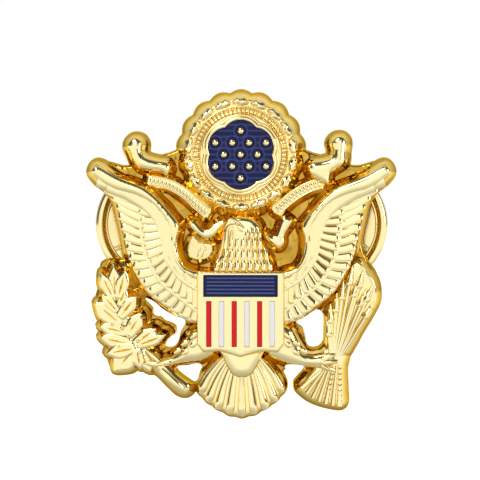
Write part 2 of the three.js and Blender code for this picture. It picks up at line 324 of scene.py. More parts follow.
def newShapeTree(name, inputs):
    given = [("Geometry", "Geometry", None)] + inputs + [("Finish", "Material", None)]
    parts = newGroup(name, "GeometryNodeTree", given, [("Geometry", "Geometry")])
    parts[0].is_modifier = True
    return parts


def readAttribute(tree, label, kind="FLOAT"):
    node = addNode(tree, "GeometryNodeInputNamedAttribute", {"Name": label}, data_type=kind)
    return node.outputs["Attribute"]


def endTree(tree, shape, given, leave):
    realize = addNode(tree, "GeometryNodeRealizeInstances", {"Geometry": shape})
    finish = addNode(tree, "GeometryNodeSetMaterial", {
        "Geometry": realize.outputs[0], "Material": given["Finish"]})
    tree.links.new(finish.outputs[0], leave["Geometry"])
    return tree


def bladeTree():    # an oval blade along every path, as wide as the path says
    tree, given, leave = newShapeTree("bladesAlongPaths", [("Flatness", "Float", 0.6), ("Sides", "Int", 12)])
    path = addNode(tree, "GeometryNodeMeshToCurve", {"Mesh": given["Geometry"]})
    normal = addNode(tree, "GeometryNodeSetCurveNormal", {
        "Curve": path.outputs[0], "Normal": readAttribute(tree, "facing", "FLOAT_VECTOR")}, mode="FREE")
    section = addNode(tree, "GeometryNodeCurvePrimitiveCircle", {
        "Radius": 1.0, "Resolution": given["Sides"]})
    flatten = addNode(tree, "ShaderNodeCombineXYZ", {"X": given["Flatness"], "Y": 1.0, "Z": 1.0})
    shape = addNode(tree, "GeometryNodeTransform", {
        "Geometry": section.outputs[0], "Scale": flatten.outputs[0]})
    sweep = addNode(tree, "GeometryNodeCurveToMesh", {
        "Curve": normal.outputs[0], "Profile Curve": shape.outputs[0],
        "Scale": readAttribute(tree, "halfWidth"), "Fill Caps": True})
    return endTree(tree, sweep.outputs[0], given, leave)


def ringTree():    # copies of one piece turned about an axis through Centre that runs front to back
    tree, given, leave = newShapeTree("piecesRoundRing", [
        ("Piece", "Object", None), ("Count", "Int", 12), ("Centre", "Vector", (0, 0, 0))])
    seeds = addNode(tree, "GeometryNodePoints", {"Count": given["Count"], "Position": given["Centre"]})
    source = addNode(tree, "GeometryNodeObjectInfo", {"Object": given["Piece"]})
    step = calculate(tree, "DIVIDE", -2 * math.pi, given["Count"])
    turned = calculate(tree, "MULTIPLY", addNode(tree, "GeometryNodeInputIndex").outputs[0], step)
    euler = addNode(tree, "ShaderNodeCombineXYZ", {"Y": turned})
    place = addNode(tree, "GeometryNodeInstanceOnPoints", {
        "Points": seeds.outputs[0], "Instance": source.outputs["Geometry"], "Rotation": euler.outputs[0]})
    return endTree(tree, place.outputs[0], given, leave)


def dotTree():    # one piece set on every point of a mesh, in the point's own size
    tree, given, leave = newShapeTree("piecesOnPoints", [("Piece", "Object", None)])
    source = addNode(tree, "GeometryNodeObjectInfo", {"Object": given["Piece"]})
    points = addNode(tree, "GeometryNodeMeshToPoints", {"Mesh": given["Geometry"]})
    place = addNode(tree, "GeometryNodeInstanceOnPoints", {
        "Points": points.outputs[0], "Instance": source.outputs["Geometry"],
        "Scale": readAttribute(tree, "size")})
    return endTree(tree, place.outputs[0], given, leave)


shapeTrees = {"blades": bladeTree(), "ring": ringTree(), "dots": dotTree()}


def growPiece(name, holder, tree, settings):    # runs a tree on the holder and keeps the plain result
    growth = holder.modifiers.new("growth", "NODES")
    growth.node_group = tree
    for item in tree.interface.items_tree:
        if item.in_out == "INPUT" and item.name in settings:
            growth[item.identifier] = settings[item.name]
    piece = frozen(name, holder)
    discard([holder])
    return softShade(piece, 50)


def pointHolder(name, places, edges, attributes):    # a loose mesh of points that carries values for a tree
    data = bpy.data.meshes.new(name)
    data.from_pydata([(x * mm, -h * mm, z * mm) for x, h, z in places], edges, [])
    for label, kind, field, values in attributes:
        data.attributes.new(label, kind, "POINT").data.foreach_set(field, values)
    return newObject(name, data)


def blades(name, strands, finish, flatness=0.6, sides=12):    # points are x, height, z, half width
    places, edges, widths, facings = [], [], [], []
    for strand in strands:
        closed = strand.get("closed", False)
        points = strand["points"]
        start = len(places)
        for k, (x, h, z, width) in enumerate(points):
            ahead = points[(k + 1) % len(points)] if closed or k + 1 < len(points) else points[k]
            behind = points[k - 1] if closed or k > 0 else points[k]
            tangent = Vector((ahead[0] - behind[0], 0, ahead[2] - behind[2])).normalized()
            across = tangent.cross(Vector((0, -1, 0)))
            facings += list((Vector((0, -1, 0)) + across * strand.get("lean", 0.0)).normalized())
            places.append((x, h, z))
            widths.append(width * mm)
        edges += [(start + k, start + k + 1) for k in range(len(points) - 1)]
        if closed:
            edges.append((start + len(points) - 1, start))
    holder = pointHolder(name + "Paths", places, edges, [
        ("halfWidth", "FLOAT", "value", widths), ("facing", "FLOAT_VECTOR", "vector", facings)])
    piece = growPiece(name, holder, shapeTrees["blades"], {
        "Flatness": flatness, "Sides": sides, "Finish": finish})
    for leftover in ("facing", "halfWidth"):
        if leftover in piece.data.attributes:
            piece.data.attributes.remove(piece.data.attributes[leftover])
    return piece


def domes(name, places, stamp, finish):    # places are x, height, z, size
    sizes = [p[3] for p in places]
    holder = pointHolder(name, [p[:3] for p in places], [], [("size", "FLOAT", "value", sizes)])
    piece = growPiece(name, holder, shapeTrees["dots"], {"Piece": stamp, "Finish": finish})
    discard([stamp])
    return piece


def finishWith(piece, body, material):
    piece.data.materials.clear()
    piece.data.materials.append(material)
    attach(piece, body)
    return piece


print("tools ready")


# shader groups and finishes

def textureOf(tree, kind, place, inputs):    # a texture laid out in the part's own frame
    texture = addNode(tree, "ShaderNodeTex" + kind, {"Vector": place.outputs["Object"], **inputs})
    return texture.outputs["Fac"]


def mixColor(tree, factor, first, second):
    return addNode(tree, "ShaderNodeMix", {"Factor": factor, "A": first, "B": second},
                   data_type="RGBA").outputs["Result"]


def paintedShadeByDepthGroup():    # painted light and shade: pale fronts, walls painted a deeper gold as they turn from the front, and painted amber shade on the floor of the recesses, in place of occlusion and gold-on-gold inter-reflection
    group, given, leave = newGroup("paintedShadeByDepth", "ShaderNodeTree", [
        ("Front", "Color", (1, 0.8, 0.4, 1)), ("Painted Wall Shade", "Color", (0.9, 0.6, 0.2, 1)),
        ("Painted Recess Shade", "Color", (0.6, 0.3, 0.03, 1)), ("Front Height", "Float", 0.002),
        ("Floor Height", "Float", 0.001), ("Patchiness", "Float", 0.2), ("Step Scale", "Float", 600.0)],
        [("Color", "Color"), ("Steps", "Float")])
    place = addNode(group, "ShaderNodeTexCoord")
    axes = addNode(group, "ShaderNodeSeparateXYZ", {"Vector": place.outputs["Object"]}).outputs
    turned = addNode(group, "ShaderNodeSeparateXYZ", {"Vector": place.outputs["Normal"]}).outputs
    patches = textureOf(group, "Noise", place, {"Scale": 900.0, "Detail": 3.0})
    patchTone = calculate(group, "MULTIPLY", calculate(group, "SUBTRACT", patches, 0.5), given["Patchiness"])
    # the lower a point lies behind the front, the more painted recess shade it gets; random patches shift the
    # mix
    depth = addNode(group, "ShaderNodeMapRange", {
        "Value": calculate(group, "MULTIPLY", axes["Y"], -1.0), "From Min": given["Floor Height"],
        "From Max": given["Front Height"]})
    total = calculate(group, "ADD", depth.outputs[0], patchTone, clamp=True)
    behind = calculate(group, "MULTIPLY", turned["Y"], 0.6)    # faces turned to the back get less of the painted recess shade
    clearOfFloor = calculate(group, "MAXIMUM", total, behind, clamp=True)
    inFloor = calculate(group, "SUBTRACT", 1.0, clearOfFloor, clamp=True)
    # painted shade on the walls: the further a face turns from the front, the more it takes the darker wall
    # colour
    slope = addNode(group, "ShaderNodeMapRange", {
        "Value": calculate(group, "MULTIPLY", turned["Y"], -1.0), "From Min": 0.2, "From Max": 0.85})
    face = mixColor(group, slope.outputs[0], given["Painted Wall Shade"], given["Front"])
    steps = textureOf(group, "Wave", place, {
        "Scale": given["Step Scale"], "Distortion": 9.0, "Detail": 1.0, "Detail Scale": 0.6})
    group.links.new(mixColor(group, clearOfFloor, given["Painted Recess Shade"], face), leave["Color"])
    group.links.new(calculate(group, "MULTIPLY", inFloor, steps), leave["Steps"])
    return group


def polishMarksGroup():    # faint smears in the gloss and a fine unevenness of the plated surface
    group, given, leave = newGroup("polishMarks", "ShaderNodeTree", [
        ("Roughness", "Float", 0.15), ("Smears", "Float", 0.06), ("Grain Scale", "Float", 4000.0),
        ("Ripple Scale", "Float", 700.0), ("Grain Share", "Float", 0.25)],
        [("Roughness", "Float"), ("Height", "Float")])
    place = addNode(group, "ShaderNodeTexCoord")
    smear = textureOf(group, "Noise", place, {"Scale": 500.0, "Detail": 4.0, "Distortion": 0.6})
    grain = textureOf(group, "Noise", place, {"Scale": given["Grain Scale"], "Detail": 2.0})
    ripple = textureOf(group, "Noise", place, {"Scale": given["Ripple Scale"], "Detail": 1.0})
    spread = calculate(group, "MULTIPLY", calculate(group, "SUBTRACT", smear, 0.5), given["Smears"])
    fine = calculate(group, "MULTIPLY", grain, given["Grain Share"])
    group.links.new(calculate(group, "ADD", spread, given["Roughness"], clamp=True), leave["Roughness"])
    group.links.new(calculate(group, "ADD", fine, ripple), leave["Height"])
    return group


shaderGroups = {"tone": paintedShadeByDepthGroup(), "marks": polishMarksGroup()}


def newMaterial(name):
    material = bpy.data.materials.new(name)
    material.use_nodes = True
    return material, material.node_tree, material.node_tree.nodes["Principled BSDF"].inputs


def placeGroup(tree, group, values):
    return addNode(tree, "ShaderNodeGroup", values, node_tree=group).outputs


def bumpFrom(tree, shader, height, distance, strength):
    bump = addNode(tree, "ShaderNodeBump", {"Distance": distance, "Strength": strength, "Height": height})
    tree.links.new(bump.outputs[0], shader["Normal"])


def platedMetal(name, look):
    material, tree, shader = newMaterial(name)
    shader["Metallic"].default_value = 1.0
    shader["Specular Tint"].default_value = (*look["edge"], 1)
    # Base Color is painted light and shade: the front colour on fronts, a darker painted-shade colour on
    # walls and another in the recesses
    tone = placeGroup(tree, shaderGroups["tone"], {
        "Front": (*look["front"], 1), "Painted Wall Shade": (*look.get("wall", look["front"]), 1),
        "Painted Recess Shade": (*look["recessShade"], 1), "Front Height": look["frontHeight"] * mm,
        "Floor Height": look["floorHeight"] * mm, "Patchiness": 0.15})
    marks = placeGroup(tree, shaderGroups["marks"], {
        "Roughness": look["roughness"], "Smears": 0.08, "Grain Scale": 5000.0, "Ripple Scale": 800.0,
        "Grain Share": 0.2})
    height = calculate(tree, "MULTIPLY_ADD", tone["Steps"], look.get("steps", 0.0), marks["Height"])
    tree.links.new(tone["Color"], shader["Base Color"])
    tree.links.new(marks["Roughness"], shader["Roughness"])
    bumpFrom(tree, shader, height, look["bump"] * mm, look["strength"])
    return material


def enamelFill(name, look):    # glossy paint, lighter where it lies thin over raised metal
    material, tree, shader = newMaterial(name)
    cloud = textureOf(tree, "Noise", addNode(tree, "ShaderNodeTexCoord"), {"Scale": 1500.0, "Detail": 3.0})
    thin = addNode(tree, "ShaderNodeAttribute", attribute_name="thin").outputs["Fac"]
    base = mixColor(tree, cloud, (*look["color"], 1), (*look["mottle"], 1))
    marks = placeGroup(tree, shaderGroups["marks"], {"Roughness": look["roughness"], "Smears": 0.06})
    tree.links.new(mixColor(tree, thin, base, (*look["thin"], 1)), shader["Base Color"])
    tree.links.new(marks["Roughness"], shader["Roughness"])
    bumpFrom(tree, shader, marks["Height"], 0.008 * mm, 0.4)
    shader["Coat Weight"].default_value = look["coat"]
    shader["Coat Roughness"].default_value = 0.05
    shader["Specular IOR Level"].default_value = 0.15
    return material


# in each finish the front colour is the painted-light copy of the plating, and the wall and recess colours
# are its painted-shade copies
gold = platedMetal("castGold", {
    "front": (0.97, 0.84, 0.44), "wall": (0.93, 0.69, 0.20), "recessShade": (0.55, 0.32, 0.04),
    "edge": (0.95, 0.74, 0.30), "frontHeight": 1.7, "floorHeight": 1.0, "steps": 1.0,
    "roughness": 0.1, "bump": 0.02, "strength": 0.6})
clutchGold = platedMetal("clutchGold", {
    "front": (1.0, 0.86, 0.46), "wall": (0.95, 0.74, 0.28), "recessShade": (0.95, 0.74, 0.32),
    "edge": (0.95, 0.74, 0.30), "frontHeight": -1.0, "floorHeight": -3.0,
    "roughness": 0.16, "bump": 0.01, "strength": 0.5})
pinGold = platedMetal("pinGold", {
    "front": (0.95, 0.74, 0.34), "recessShade": (0.9, 0.68, 0.3), "edge": (0.95, 0.70, 0.28),
    "frontHeight": 0.0, "floorHeight": -6.0, "roughness": 0.2, "bump": 0.01, "strength": 0.5})
springSteel = platedMetal("springSteel", {
    "front": (0.66, 0.64, 0.6), "recessShade": (0.5, 0.48, 0.44), "edge": (0.8, 0.8, 0.8),
    "frontHeight": -2.0, "floorHeight": -4.0, "roughness": 0.3, "bump": 0.01, "strength": 0.5})
navyEnamel = enamelFill("navyEnamel", {
    "color": (0.006, 0.009, 0.062), "mottle": (0.010, 0.014, 0.085), "thin": (0.10, 0.13, 0.33),
    "roughness": 0.2, "coat": 0.0})
redEnamel = enamelFill("redEnamel", {
    "color": (0.70, 0.006, 0.012), "mottle": (0.80, 0.015, 0.02), "thin": (0.85, 0.06, 0.04),
    "roughness": 0.2, "coat": 0.1})
whiteEnamel = enamelFill("whiteEnamel", {
    "color": (0.92, 0.90, 0.97), "mottle": (0.96, 0.95, 1.0), "thin": (0.9, 0.85, 0.8),
    "roughness": 0.2, "coat": 0.1})
print("finishes ready")


# emblem: the casting and its masses

heights = {"floor": 0.95, "leaf": 2.2, "shield": 3.15}    # above the back face
gloryCentre = (0.0, 6.3)

outlines = {
    "leftWing": [
        (-13.0, 5.5), (-11.1, 4.5), (-8.3, 3.3), (-6.4, 1.5), (-5.4, 0.0), (-5.65, -1.4), (-5.5, -2.6),
        (-4.9, -3.7), (-3.6, -4.3), (-3.2, -6.5), (-3.6, -8.7), (-4.9, -8.65), (-6.0, -8.0), (-6.9, -7.3),
        (-8.3, -6.2), (-9.2, -4.9), (-9.8, -3.6), (-10.2, -2.4), (-10.5, -0.7), (-10.8, 0.6), (-11.2, 2.2),
        (-12.0, 3.3), (-13.0, 4.1), (-13.45, 4.8)],
    "leftScroll": [
        (-10.1, 7.4), (-9.6, 7.85), (-9.0, 7.75), (-8.75, 7.3), (-8.8, 6.6), (-8.5, 6.15), (-7.6, 5.85),
        (-6.4, 5.6), (-6.2, 5.1), (-6.6, 4.4), (-7.1, 4.7), (-8.3, 4.85), (-9.1, 5.1), (-9.6, 5.7),
        (-9.9, 6.4), (-10.15, 7.0)],
    "rightScroll": [
        (8.1, 7.4), (8.5, 7.9), (9.1, 7.95), (9.45, 7.6), (9.4, 6.6), (9.25, 5.4), (8.6, 4.95), (8.1, 4.6),
        (7.9, 3.6), (7.3, 3.75), (6.6, 4.15), (6.2, 4.5), (6.0, 5.1), (6.2, 5.6), (7.3, 5.8), (8.1, 6.1),
        (8.25, 6.7)],
    "leftBand": [
        (-8.3, 4.4), (-6.4, 4.15), (-4.8, 3.3), (-3.6, 2.4), (-2.65, 1.5), (-2.8, 0.9), (-3.2, 0.6),
        (-3.9, 1.2), (-5.3, 2.4), (-6.5, 3.15), (-8.3, 3.6)],
    "rightBand": [
        (7.3, 4.2), (6.2, 3.95), (4.9, 3.25), (3.9, 2.6), (2.75, 1.7), (2.9, 1.2), (3.6, 0.8), (4.2, 1.55),
        (5.2, 2.3), (6.3, 2.9), (7.4, 3.3)],
    "leftFold": [
        (-4.65, 0.35), (-4.1, 0.35), (-3.3, -0.45), (-2.4, 0.1), (-1.5, 0.45), (-1.35, 0.1), (-1.7, -0.3),
        (-2.4, -1.0), (-3.1, -1.2), (-3.8, -0.85), (-4.6, -0.05)],
    "rightFold": [
        (3.8, 0.7), (4.6, 0.45), (3.9, -0.95), (3.9, -1.6), (3.4, -2.1), (2.2, -1.1), (2.25, -0.7),
        (2.95, -1.0)],
    "lowFold": [
        (-4.3, -0.95), (-3.7, -1.5), (-2.6, -1.75), (-2.5, -2.2), (-3.0, -3.0), (-4.2, -3.1), (-4.7, -2.7),
        (-4.7, -1.8)],
    "head": [
        (0.2, 0.85), (0.9, 0.7), (1.55, 0.3), (1.9, -0.4), (1.85, -1.2), (2.2, -2.1), (2.7, -3.1),
        (2.7, -4.3), (-2.3, -4.3), (-2.2, -3.0), (-1.85, -2.4), (-1.75, -1.5), (-1.6, -0.4), (-1.4, 0.3),
        (-0.8, 0.75)],
    "leftLeg": [
        (-3.4, -8.9), (-4.1, -9.3), (-4.8, -9.9), (-5.4, -11.0), (-6.0, -11.6), (-6.8, -12.0), (-7.9, -12.3),
        (-7.6, -12.7), (-6.6, -12.7), (-5.0, -12.4), (-3.5, -12.2), (-2.3, -11.3)],
    "rightLeg": [
        (3.4, -8.8), (4.5, -9.2), (5.3, -10.6), (6.1, -11.5), (7.2, -11.4), (8.2, -11.3), (8.5, -12.4),
        (7.2, -12.9), (6.4, -12.8), (5.2, -12.75), (4.0, -12.4), (2.4, -11.5)],
    "tail": bothHalves([
        (0.0, -10.8), (1.8, -11.8), (2.8, -12.7), (3.5, -13.6), (3.85, -14.5), (3.5, -15.2), (2.8, -15.9),
        (1.9, -16.5), (1.0, -16.95), (0.0, -17.15)]),
    "stalk": [
        (-11.4, -5.9), (-11.2, -8.0), (-10.6, -9.8), (-9.8, -11.2), (-8.4, -12.6), (-7.4, -13.3),
        (-6.3, -14.4), (-5.5, -15.1), (-5.0, -15.2), (-4.6, -14.9), (-4.6, -14.4), (-5.6, -13.5),
        (-6.7, -12.4), (-8.0, -11.2), (-9.1, -9.8), (-10.1, -7.9), (-10.8, -5.9)],
    "arrows": [
        (9.7, -4.2), (10.1, -3.5), (10.6, -3.3), (11.3, -4.1), (12.0, -5.1), (12.15, -6.7), (11.5, -8.1),
        (10.6, -9.6), (9.9, -10.9), (9.4, -11.6), (7.9, -11.6), (7.75, -10.0), (7.7, -8.5), (8.1, -7.4),
        (8.7, -6.6), (9.2, -5.4)],
    "fletching": [
        (7.5, -11.2), (9.3, -11.4), (9.15, -13.0), (9.2, -14.8), (9.15, -16.2), (8.0, -16.15), (6.8, -15.8),
        (5.9, -15.3), (5.25, -14.55), (5.9, -13.7), (6.7, -12.7)],
}
outlines["rightWing"] = mirrored(outlines["leftWing"])

plateOutline = [
    (-12.4, 5.6), (-10.6, 5.3), (-9.6, 5.4), (-8.4, 6.0), (-6.6, 6.4), (-5.0, 7.0), (0.0, 8.0), (5.0, 7.0),
    (6.6, 6.4), (8.4, 6.0), (9.6, 5.4), (10.6, 5.3), (12.4, 5.6), (11.4, 2.4), (10.9, -1.5), (11.3, -3.0),
    (12.2, -4.4), (12.4, -6.6), (11.6, -8.4), (10.0, -10.8), (9.6, -12.6), (9.5, -16.0), (8.8, -16.5),
    (6.6, -16.0), (4.9, -14.7), (5.0, -13.9), (5.6, -13.1), (4.9, -12.6), (4.0, -13.0), (3.4, -13.8),
    (0.0, -15.5), (-3.4, -14.6), (-4.6, -15.2), (-6.1, -14.9), (-7.7, -13.7), (-9.2, -13.1), (-10.4, -13.0),
    (-11.6, -13.2), (-12.3, -11.6), (-12.7, -10.0), (-13.0, -8.2), (-13.2, -6.8), (-12.7, -5.0),
    (-12.6, -3.4), (-11.4, -3.1), (-10.4, -3.0), (-10.9, 0.4), (-11.4, 2.6)]

windows = {
    "left": [
        (-8.65, -6.75), (-7.9, -7.1), (-7.2, -7.7), (-6.2, -8.3), (-5.2, -8.75), (-5.25, -9.1), (-5.6, -9.8),
        (-5.8, -10.6), (-6.15, -11.0), (-6.8, -11.0), (-6.5, -10.4), (-5.85, -9.9), (-5.8, -9.2),
        (-6.2, -8.85), (-6.9, -8.6), (-7.2, -8.3), (-7.85, -8.15), (-7.95, -7.5), (-8.3, -7.1)],
    "right": [
        (7.0, -7.8), (7.35, -8.2), (7.4, -9.4), (7.3, -10.6), (6.8, -11.0), (6.15, -10.9), (5.9, -10.0),
        (5.6, -9.2), (5.15, -8.85), (5.8, -8.5)],
    "lowLeft": [
        (-5.75, -13.0), (-4.8, -12.85), (-3.7, -12.75), (-3.9, -13.6), (-4.15, -14.2), (-4.6, -14.0)],
    "lowRight": [
        (4.1, -12.85), (5.0, -12.8), (5.6, -12.95), (5.1, -13.6), (4.65, -14.2), (4.65, -15.0), (4.5, -15.0),
        (4.5, -14.2), (4.35, -13.4)],
}

leaves = [    # tip x, z; base x, z; half width
    (-11.4, -3.5, -11.2, -6.6, 0.66), (-12.55, -4.2, -11.4, -6.6, 0.6), (-10.3, -4.0, -11.0, -6.6, 0.64),
    (-13.05, -6.95, -10.7, -8.9, 0.88), (-12.45, -6.1, -11.0, -7.8, 0.58), (-9.35, -6.35, -10.9, -8.3, 0.66),
    (-8.9, -7.85, -10.2, -10.0, 0.72), (-7.55, -9.25, -9.6, -10.7, 0.58), (-6.65, -9.8, -9.3, -10.8, 0.6),
    (-12.75, -9.1, -10.1, -9.6, 0.7), (-12.7, -10.1, -9.9, -10.6, 0.7), (-12.15, -11.55, -9.4, -11.0, 0.76),
    (-11.35, -13.15, -9.5, -11.1, 1.0), (-10.3, -5.6, -10.9, -7.3, 0.5), (-9.0, -12.9, -9.3, -11.1, 0.7),
    (-8.1, -13.2, -8.9, -11.4, 0.6)]


def leafOutline(tipX, tipZ, baseX, baseZ, half):
    spine = Vector((baseX - tipX, baseZ - tipZ))
    side = Vector((-spine.y, spine.x)).normalized() * half
    shape = [(0, 0), (0.08, 0.3), (0.22, 0.66), (0.40, 1.0), (0.7, 0.92), (1.0, 0.6)]
    full = shape + [(t, -s) for t, s in reversed(shape[1:])]
    return [(tipX + spine.x * t + side.x * s, tipZ + spine.y * t + side.y * s) for t, s in full]


def roundGlory(radius, steps):    # points round the star field, at a radius given for every angle
    x, z = gloryCentre
    return np.array([(x + radius(angle) * math.cos(angle), z + radius(angle) * math.sin(angle))
                     for angle in (2 * math.pi * k / steps for k in range(steps))])


def scallops(radius, depth=0.0, steps=216):    # eighteen shallow scallops, or a plain circle
    return roundGlory(lambda angle: radius + depth * abs(math.cos(9 * (angle - math.pi / 2))), steps)


def hexafoil(grow=0.0, steps=120):    # six shallow round lobes
    centreOut, reach = 1.4, 1.7 + grow

    def radius(angle):
        offLobe = (angle + math.pi / 3) % (math.pi / 3) - math.pi / 6
        across = centreOut * math.sin(offLobe)
        return centreOut * math.cos(offLobe) + math.sqrt(reach ** 2 - across ** 2)
    return roundGlory(radius, steps)


tailFan = {"origin": (0.1, -9.6), "count": 9, "spread": 34, "start": 2.6, "length": 7.5,
           "shorterAtSides": 1.0, "halfWidths": (0.17, 0.46), "height": 2.0, "lift": 0.03, "bow": 0.28,
           "wave": 0.05, "waveBelow": -14.2}


def tailOutline():    # the lower edge waves in and out with the feather tips
    out = []
    for x, z in throughPoints(outlines["tail"], pitch=0.12):
        away = Vector((x - tailFan["origin"][0], z - tailFan["origin"][1]))
        share = math.degrees(math.atan2(away.x, -away.y)) / tailFan["spread"]
        low = min(max((tailFan["waveBelow"] - z) / 0.8, 0.0), 1.0)
        wave = tailFan["wave"] * math.cos(math.pi * share * (tailFan["count"] - 1)) * low
        out.append((x + away.normalized().x * wave, z + away.normalized().y * wave))
    return np.array(out)


masses = {    # raised parts of the casting
    "Wing": {"high": 2.25, "shoulder": 0.3, "grid": 0.4},
    "Scroll": {"high": 2.5, "shoulder": 0.75, "drop": 0.5, "grid": 0.15, "pitch": 0.12},
    "Band": {"high": 1.9, "shoulder": 0.15, "grid": 0.3},
    "Fold": {"high": 2.1, "shoulder": 0.45, "drop": 0.3, "grid": 0.13, "pitch": 0.1},
    "Leg": {"high": 2.45, "shoulder": 1.0, "drop": 0.6, "grid": 0.16},
    "lowFold": {"high": 1.6, "shoulder": 0.12, "crown": 0.05, "grid": 0.15, "pitch": 0.1},
    "head": {"high": 2.75, "shoulder": 0.65, "crown": 0.3, "grid": 0.15},
    "tail": {"high": 2.1, "shoulder": 0.2, "grid": 0.4, "flare": 0.45},
    "stalk": {"high": 2.1, "shoulder": 0.5, "drop": 0.35, "grid": 0.17},
    "arrows": {"high": 2.1, "shoulder": 0.2, "grid": 0.4},
    "fletching": {"high": 2.1, "shoulder": 0.2, "grid": 0.4},
}
shieldHalf = [(0.0, -11.75), (1.75, -11.2), (3.35, -11.3), (3.88, -10.6), (3.88, -4.08), (0.0, -4.08)]


def mass(name, kind):
    shape = dict(masses[kind])
    pitch = shape.pop("pitch", 0.16)
    outline = tailOutline() if kind == "tail" else throughPoints(outlines[name], pitch=pitch)
    return slab(name, outline, **shape)


def castingShells():
    def uneven(x, z, away):    # the floor of the recesses isn't quite flat
        waves = 0.07 * np.sin(2.2 * x + 1.3 * z) + 0.05 * np.sin(2.9 * z - 1.7 * x + 1.0)
        return waves * np.clip(away / 0.4, 0, 1)

    shells = [
        slab("plate", throughPoints(plateOutline), heights["floor"], shoulder=0.2, grid=0.17, flare=0.12,
             relief=uneven),
        slab("glory", scallops(4.95, 0.14), 2.3, shoulder=0.2, grid=0.5, foot=scallops(5.68, 0.28))]
    shells += [mass(side + kind, kind) for side in ("left", "right")
               for kind in ("Wing", "Scroll", "Band", "Fold", "Leg")]
    shells += [mass(name, name) for name in ("lowFold", "head", "tail", "stalk", "arrows", "fletching")]
    for number, leaf in enumerate(leaves):
        tipX, tipZ = leaf[:2]
        besideWindow = tipX > -10.5 and tipZ > -11
        shells.append(slab(
            "leaf%d" % number, throughPoints(leafOutline(*leaf), pitch=0.1),
            heights["leaf"] + 0.04 * (number % 3), shoulder=0.3, drop=0.2, crown=0.03, grid=0.12,
            flare=1.0 if besideWindow else 0.55))
    shield = roundedCorners(bothHalves(shieldHalf), 0.18)
    return shells + [slab("shield", shield, heights["shield"], shoulder=0.24, grid=0.6, flare=0.45)]


shieldBoxes = {"stripes": 6, "stripePitch": 1.13, "stripeHalf": 0.25, "stripe": (-10.8, -6.7),
               "chiefHalf": 3.33, "chief": (-6.35, -4.38)}    # from low to high


def box(centre, half, low, high, radius, grow):
    left, right, low, high = centre - half - grow, centre + half + grow, low - grow, high + grow
    return roundedCorners([(left, low), (right, low), (right, high), (left, high)], radius)


def stripeBox(index, radius=0.08, grow=0.0):
    centre = (index - (shieldBoxes["stripes"] - 1) / 2) * shieldBoxes["stripePitch"]
    return box(centre, shieldBoxes["stripeHalf"], *shieldBoxes["stripe"], radius, grow)


def chiefBox(grow=0.0):
    return box(0.0, shieldBoxes["chiefHalf"], *shieldBoxes["chief"], 0.08, grow)


veinProfile = ((0.26, 0.02), (0.42, 0.075), (0.6, 0.105), (0.78, 0.06), (0.86, 0.02))    # share, half width


def veinSlit(tipX, tipZ, baseX, baseZ):    # a narrow nick along the middle of each leaf
    return {"points": [(tipX + (baseX - tipX) * t, heights["leaf"] + 0.08, tipZ + (baseZ - tipZ) * t, width)
                       for t, width in veinProfile]}


def loopStrand(loop, height, half):
    return {"points": [(x, height, z, half) for x, z in loop], "closed": True}


bedFloor = heights["shield"] - 0.4    # floor of the recesses for the shield's enamel
cutTop = 4.0


def buildCasting():
    cutters = [prism("window" + name, throughPoints(outline, pitch=0.12), -0.5, cutTop, taper=0.5)
               for name, outline in windows.items()]
    trench = loopStrand(scallops(3.92, 0.0, 144), 2.38, 0.34)
    cutters.append(blades("trench", [trench], gold, flatness=1.0, sides=12))
    cutters.append(blades("veins", [veinSlit(*leaf[:4]) for leaf in leaves], gold, flatness=1.9, sides=8))
    cutters.append(prism("starBed", hexafoil(), 2.1, cutTop))
    cutters.append(prism("chiefBed", chiefBox(), bedFloor, cutTop))
    cutters += [prism("stripeBed%d" % i, stripeBox(i), bedFloor, cutTop)
                for i in range(shieldBoxes["stripes"])]
    casting = fuse("castingBody", castingShells(), cutters)
    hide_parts("badge_casting")
    return finishWith(casting, "badge", gold)


casting = buildCasting()
print("casting body:", len(casting.data.polygons), "faces")


# wings: a smooth leading rim and three rows of overlapping feathers

def cast(piece):    # part of the casting's relief
    return finishWith(piece, "badge", gold)


def castBlades(name, strands, flatness, sides=12):
    return cast(blades(name, strands, gold, flatness, sides))


def lengthOf(line):
    return np.linalg.norm(np.diff(line, axis=0), axis=1).sum()


def directions(way):    # a unit vector and the one across it
    way = way / np.linalg.norm(way)
    return way, np.array([-way[1], way[0]])


wingLines = {
    "edge": [
        (-12.6, 3.8), (-11.9, 3.2), (-11.15, 2.3), (-10.75, 0.5), (-10.45, -0.7), (-10.05, -2.5),
        (-9.7, -3.6), (-9.0, -4.85), (-8.1, -6.1), (-6.8, -7.2), (-5.9, -7.9), (-4.8, -8.5), (-3.9, -8.75)],
    "divider": [
        (-9.3, 2.6), (-9.0, 1.3), (-8.8, -0.4), (-8.5, -2.4), (-7.9, -3.8), (-7.3, -4.8), (-6.3, -5.8),
        (-5.5, -6.4), (-4.6, -7.1), (-3.8, -7.7)],
    "shoulder": [
        (-7.7, 1.8), (-7.1, 0.5), (-6.9, -0.7), (-6.8, -2.1), (-6.5, -3.1), (-6.0, -3.9), (-5.3, -4.8),
        (-3.9, -5.7)],
    "rimInside": [
        (-12.7, 4.0), (-11.4, 3.2), (-9.4, 2.6), (-8.0, 1.9), (-7.0, 0.8), (-6.35, -0.4), (-6.3, -1.6),
        (-6.1, -2.8), (-5.4, -4.0), (-3.6, -5.0)],
    "rimOutside": [
        (-3.6, -4.2), (-4.8, -3.8), (-5.55, -2.6), (-5.7, -1.4), (-5.45, 0.0), (-6.45, 1.45), (-8.35, 3.25),
        (-11.1, 4.45), (-13.0, 5.35), (-13.35, 4.8)],
}
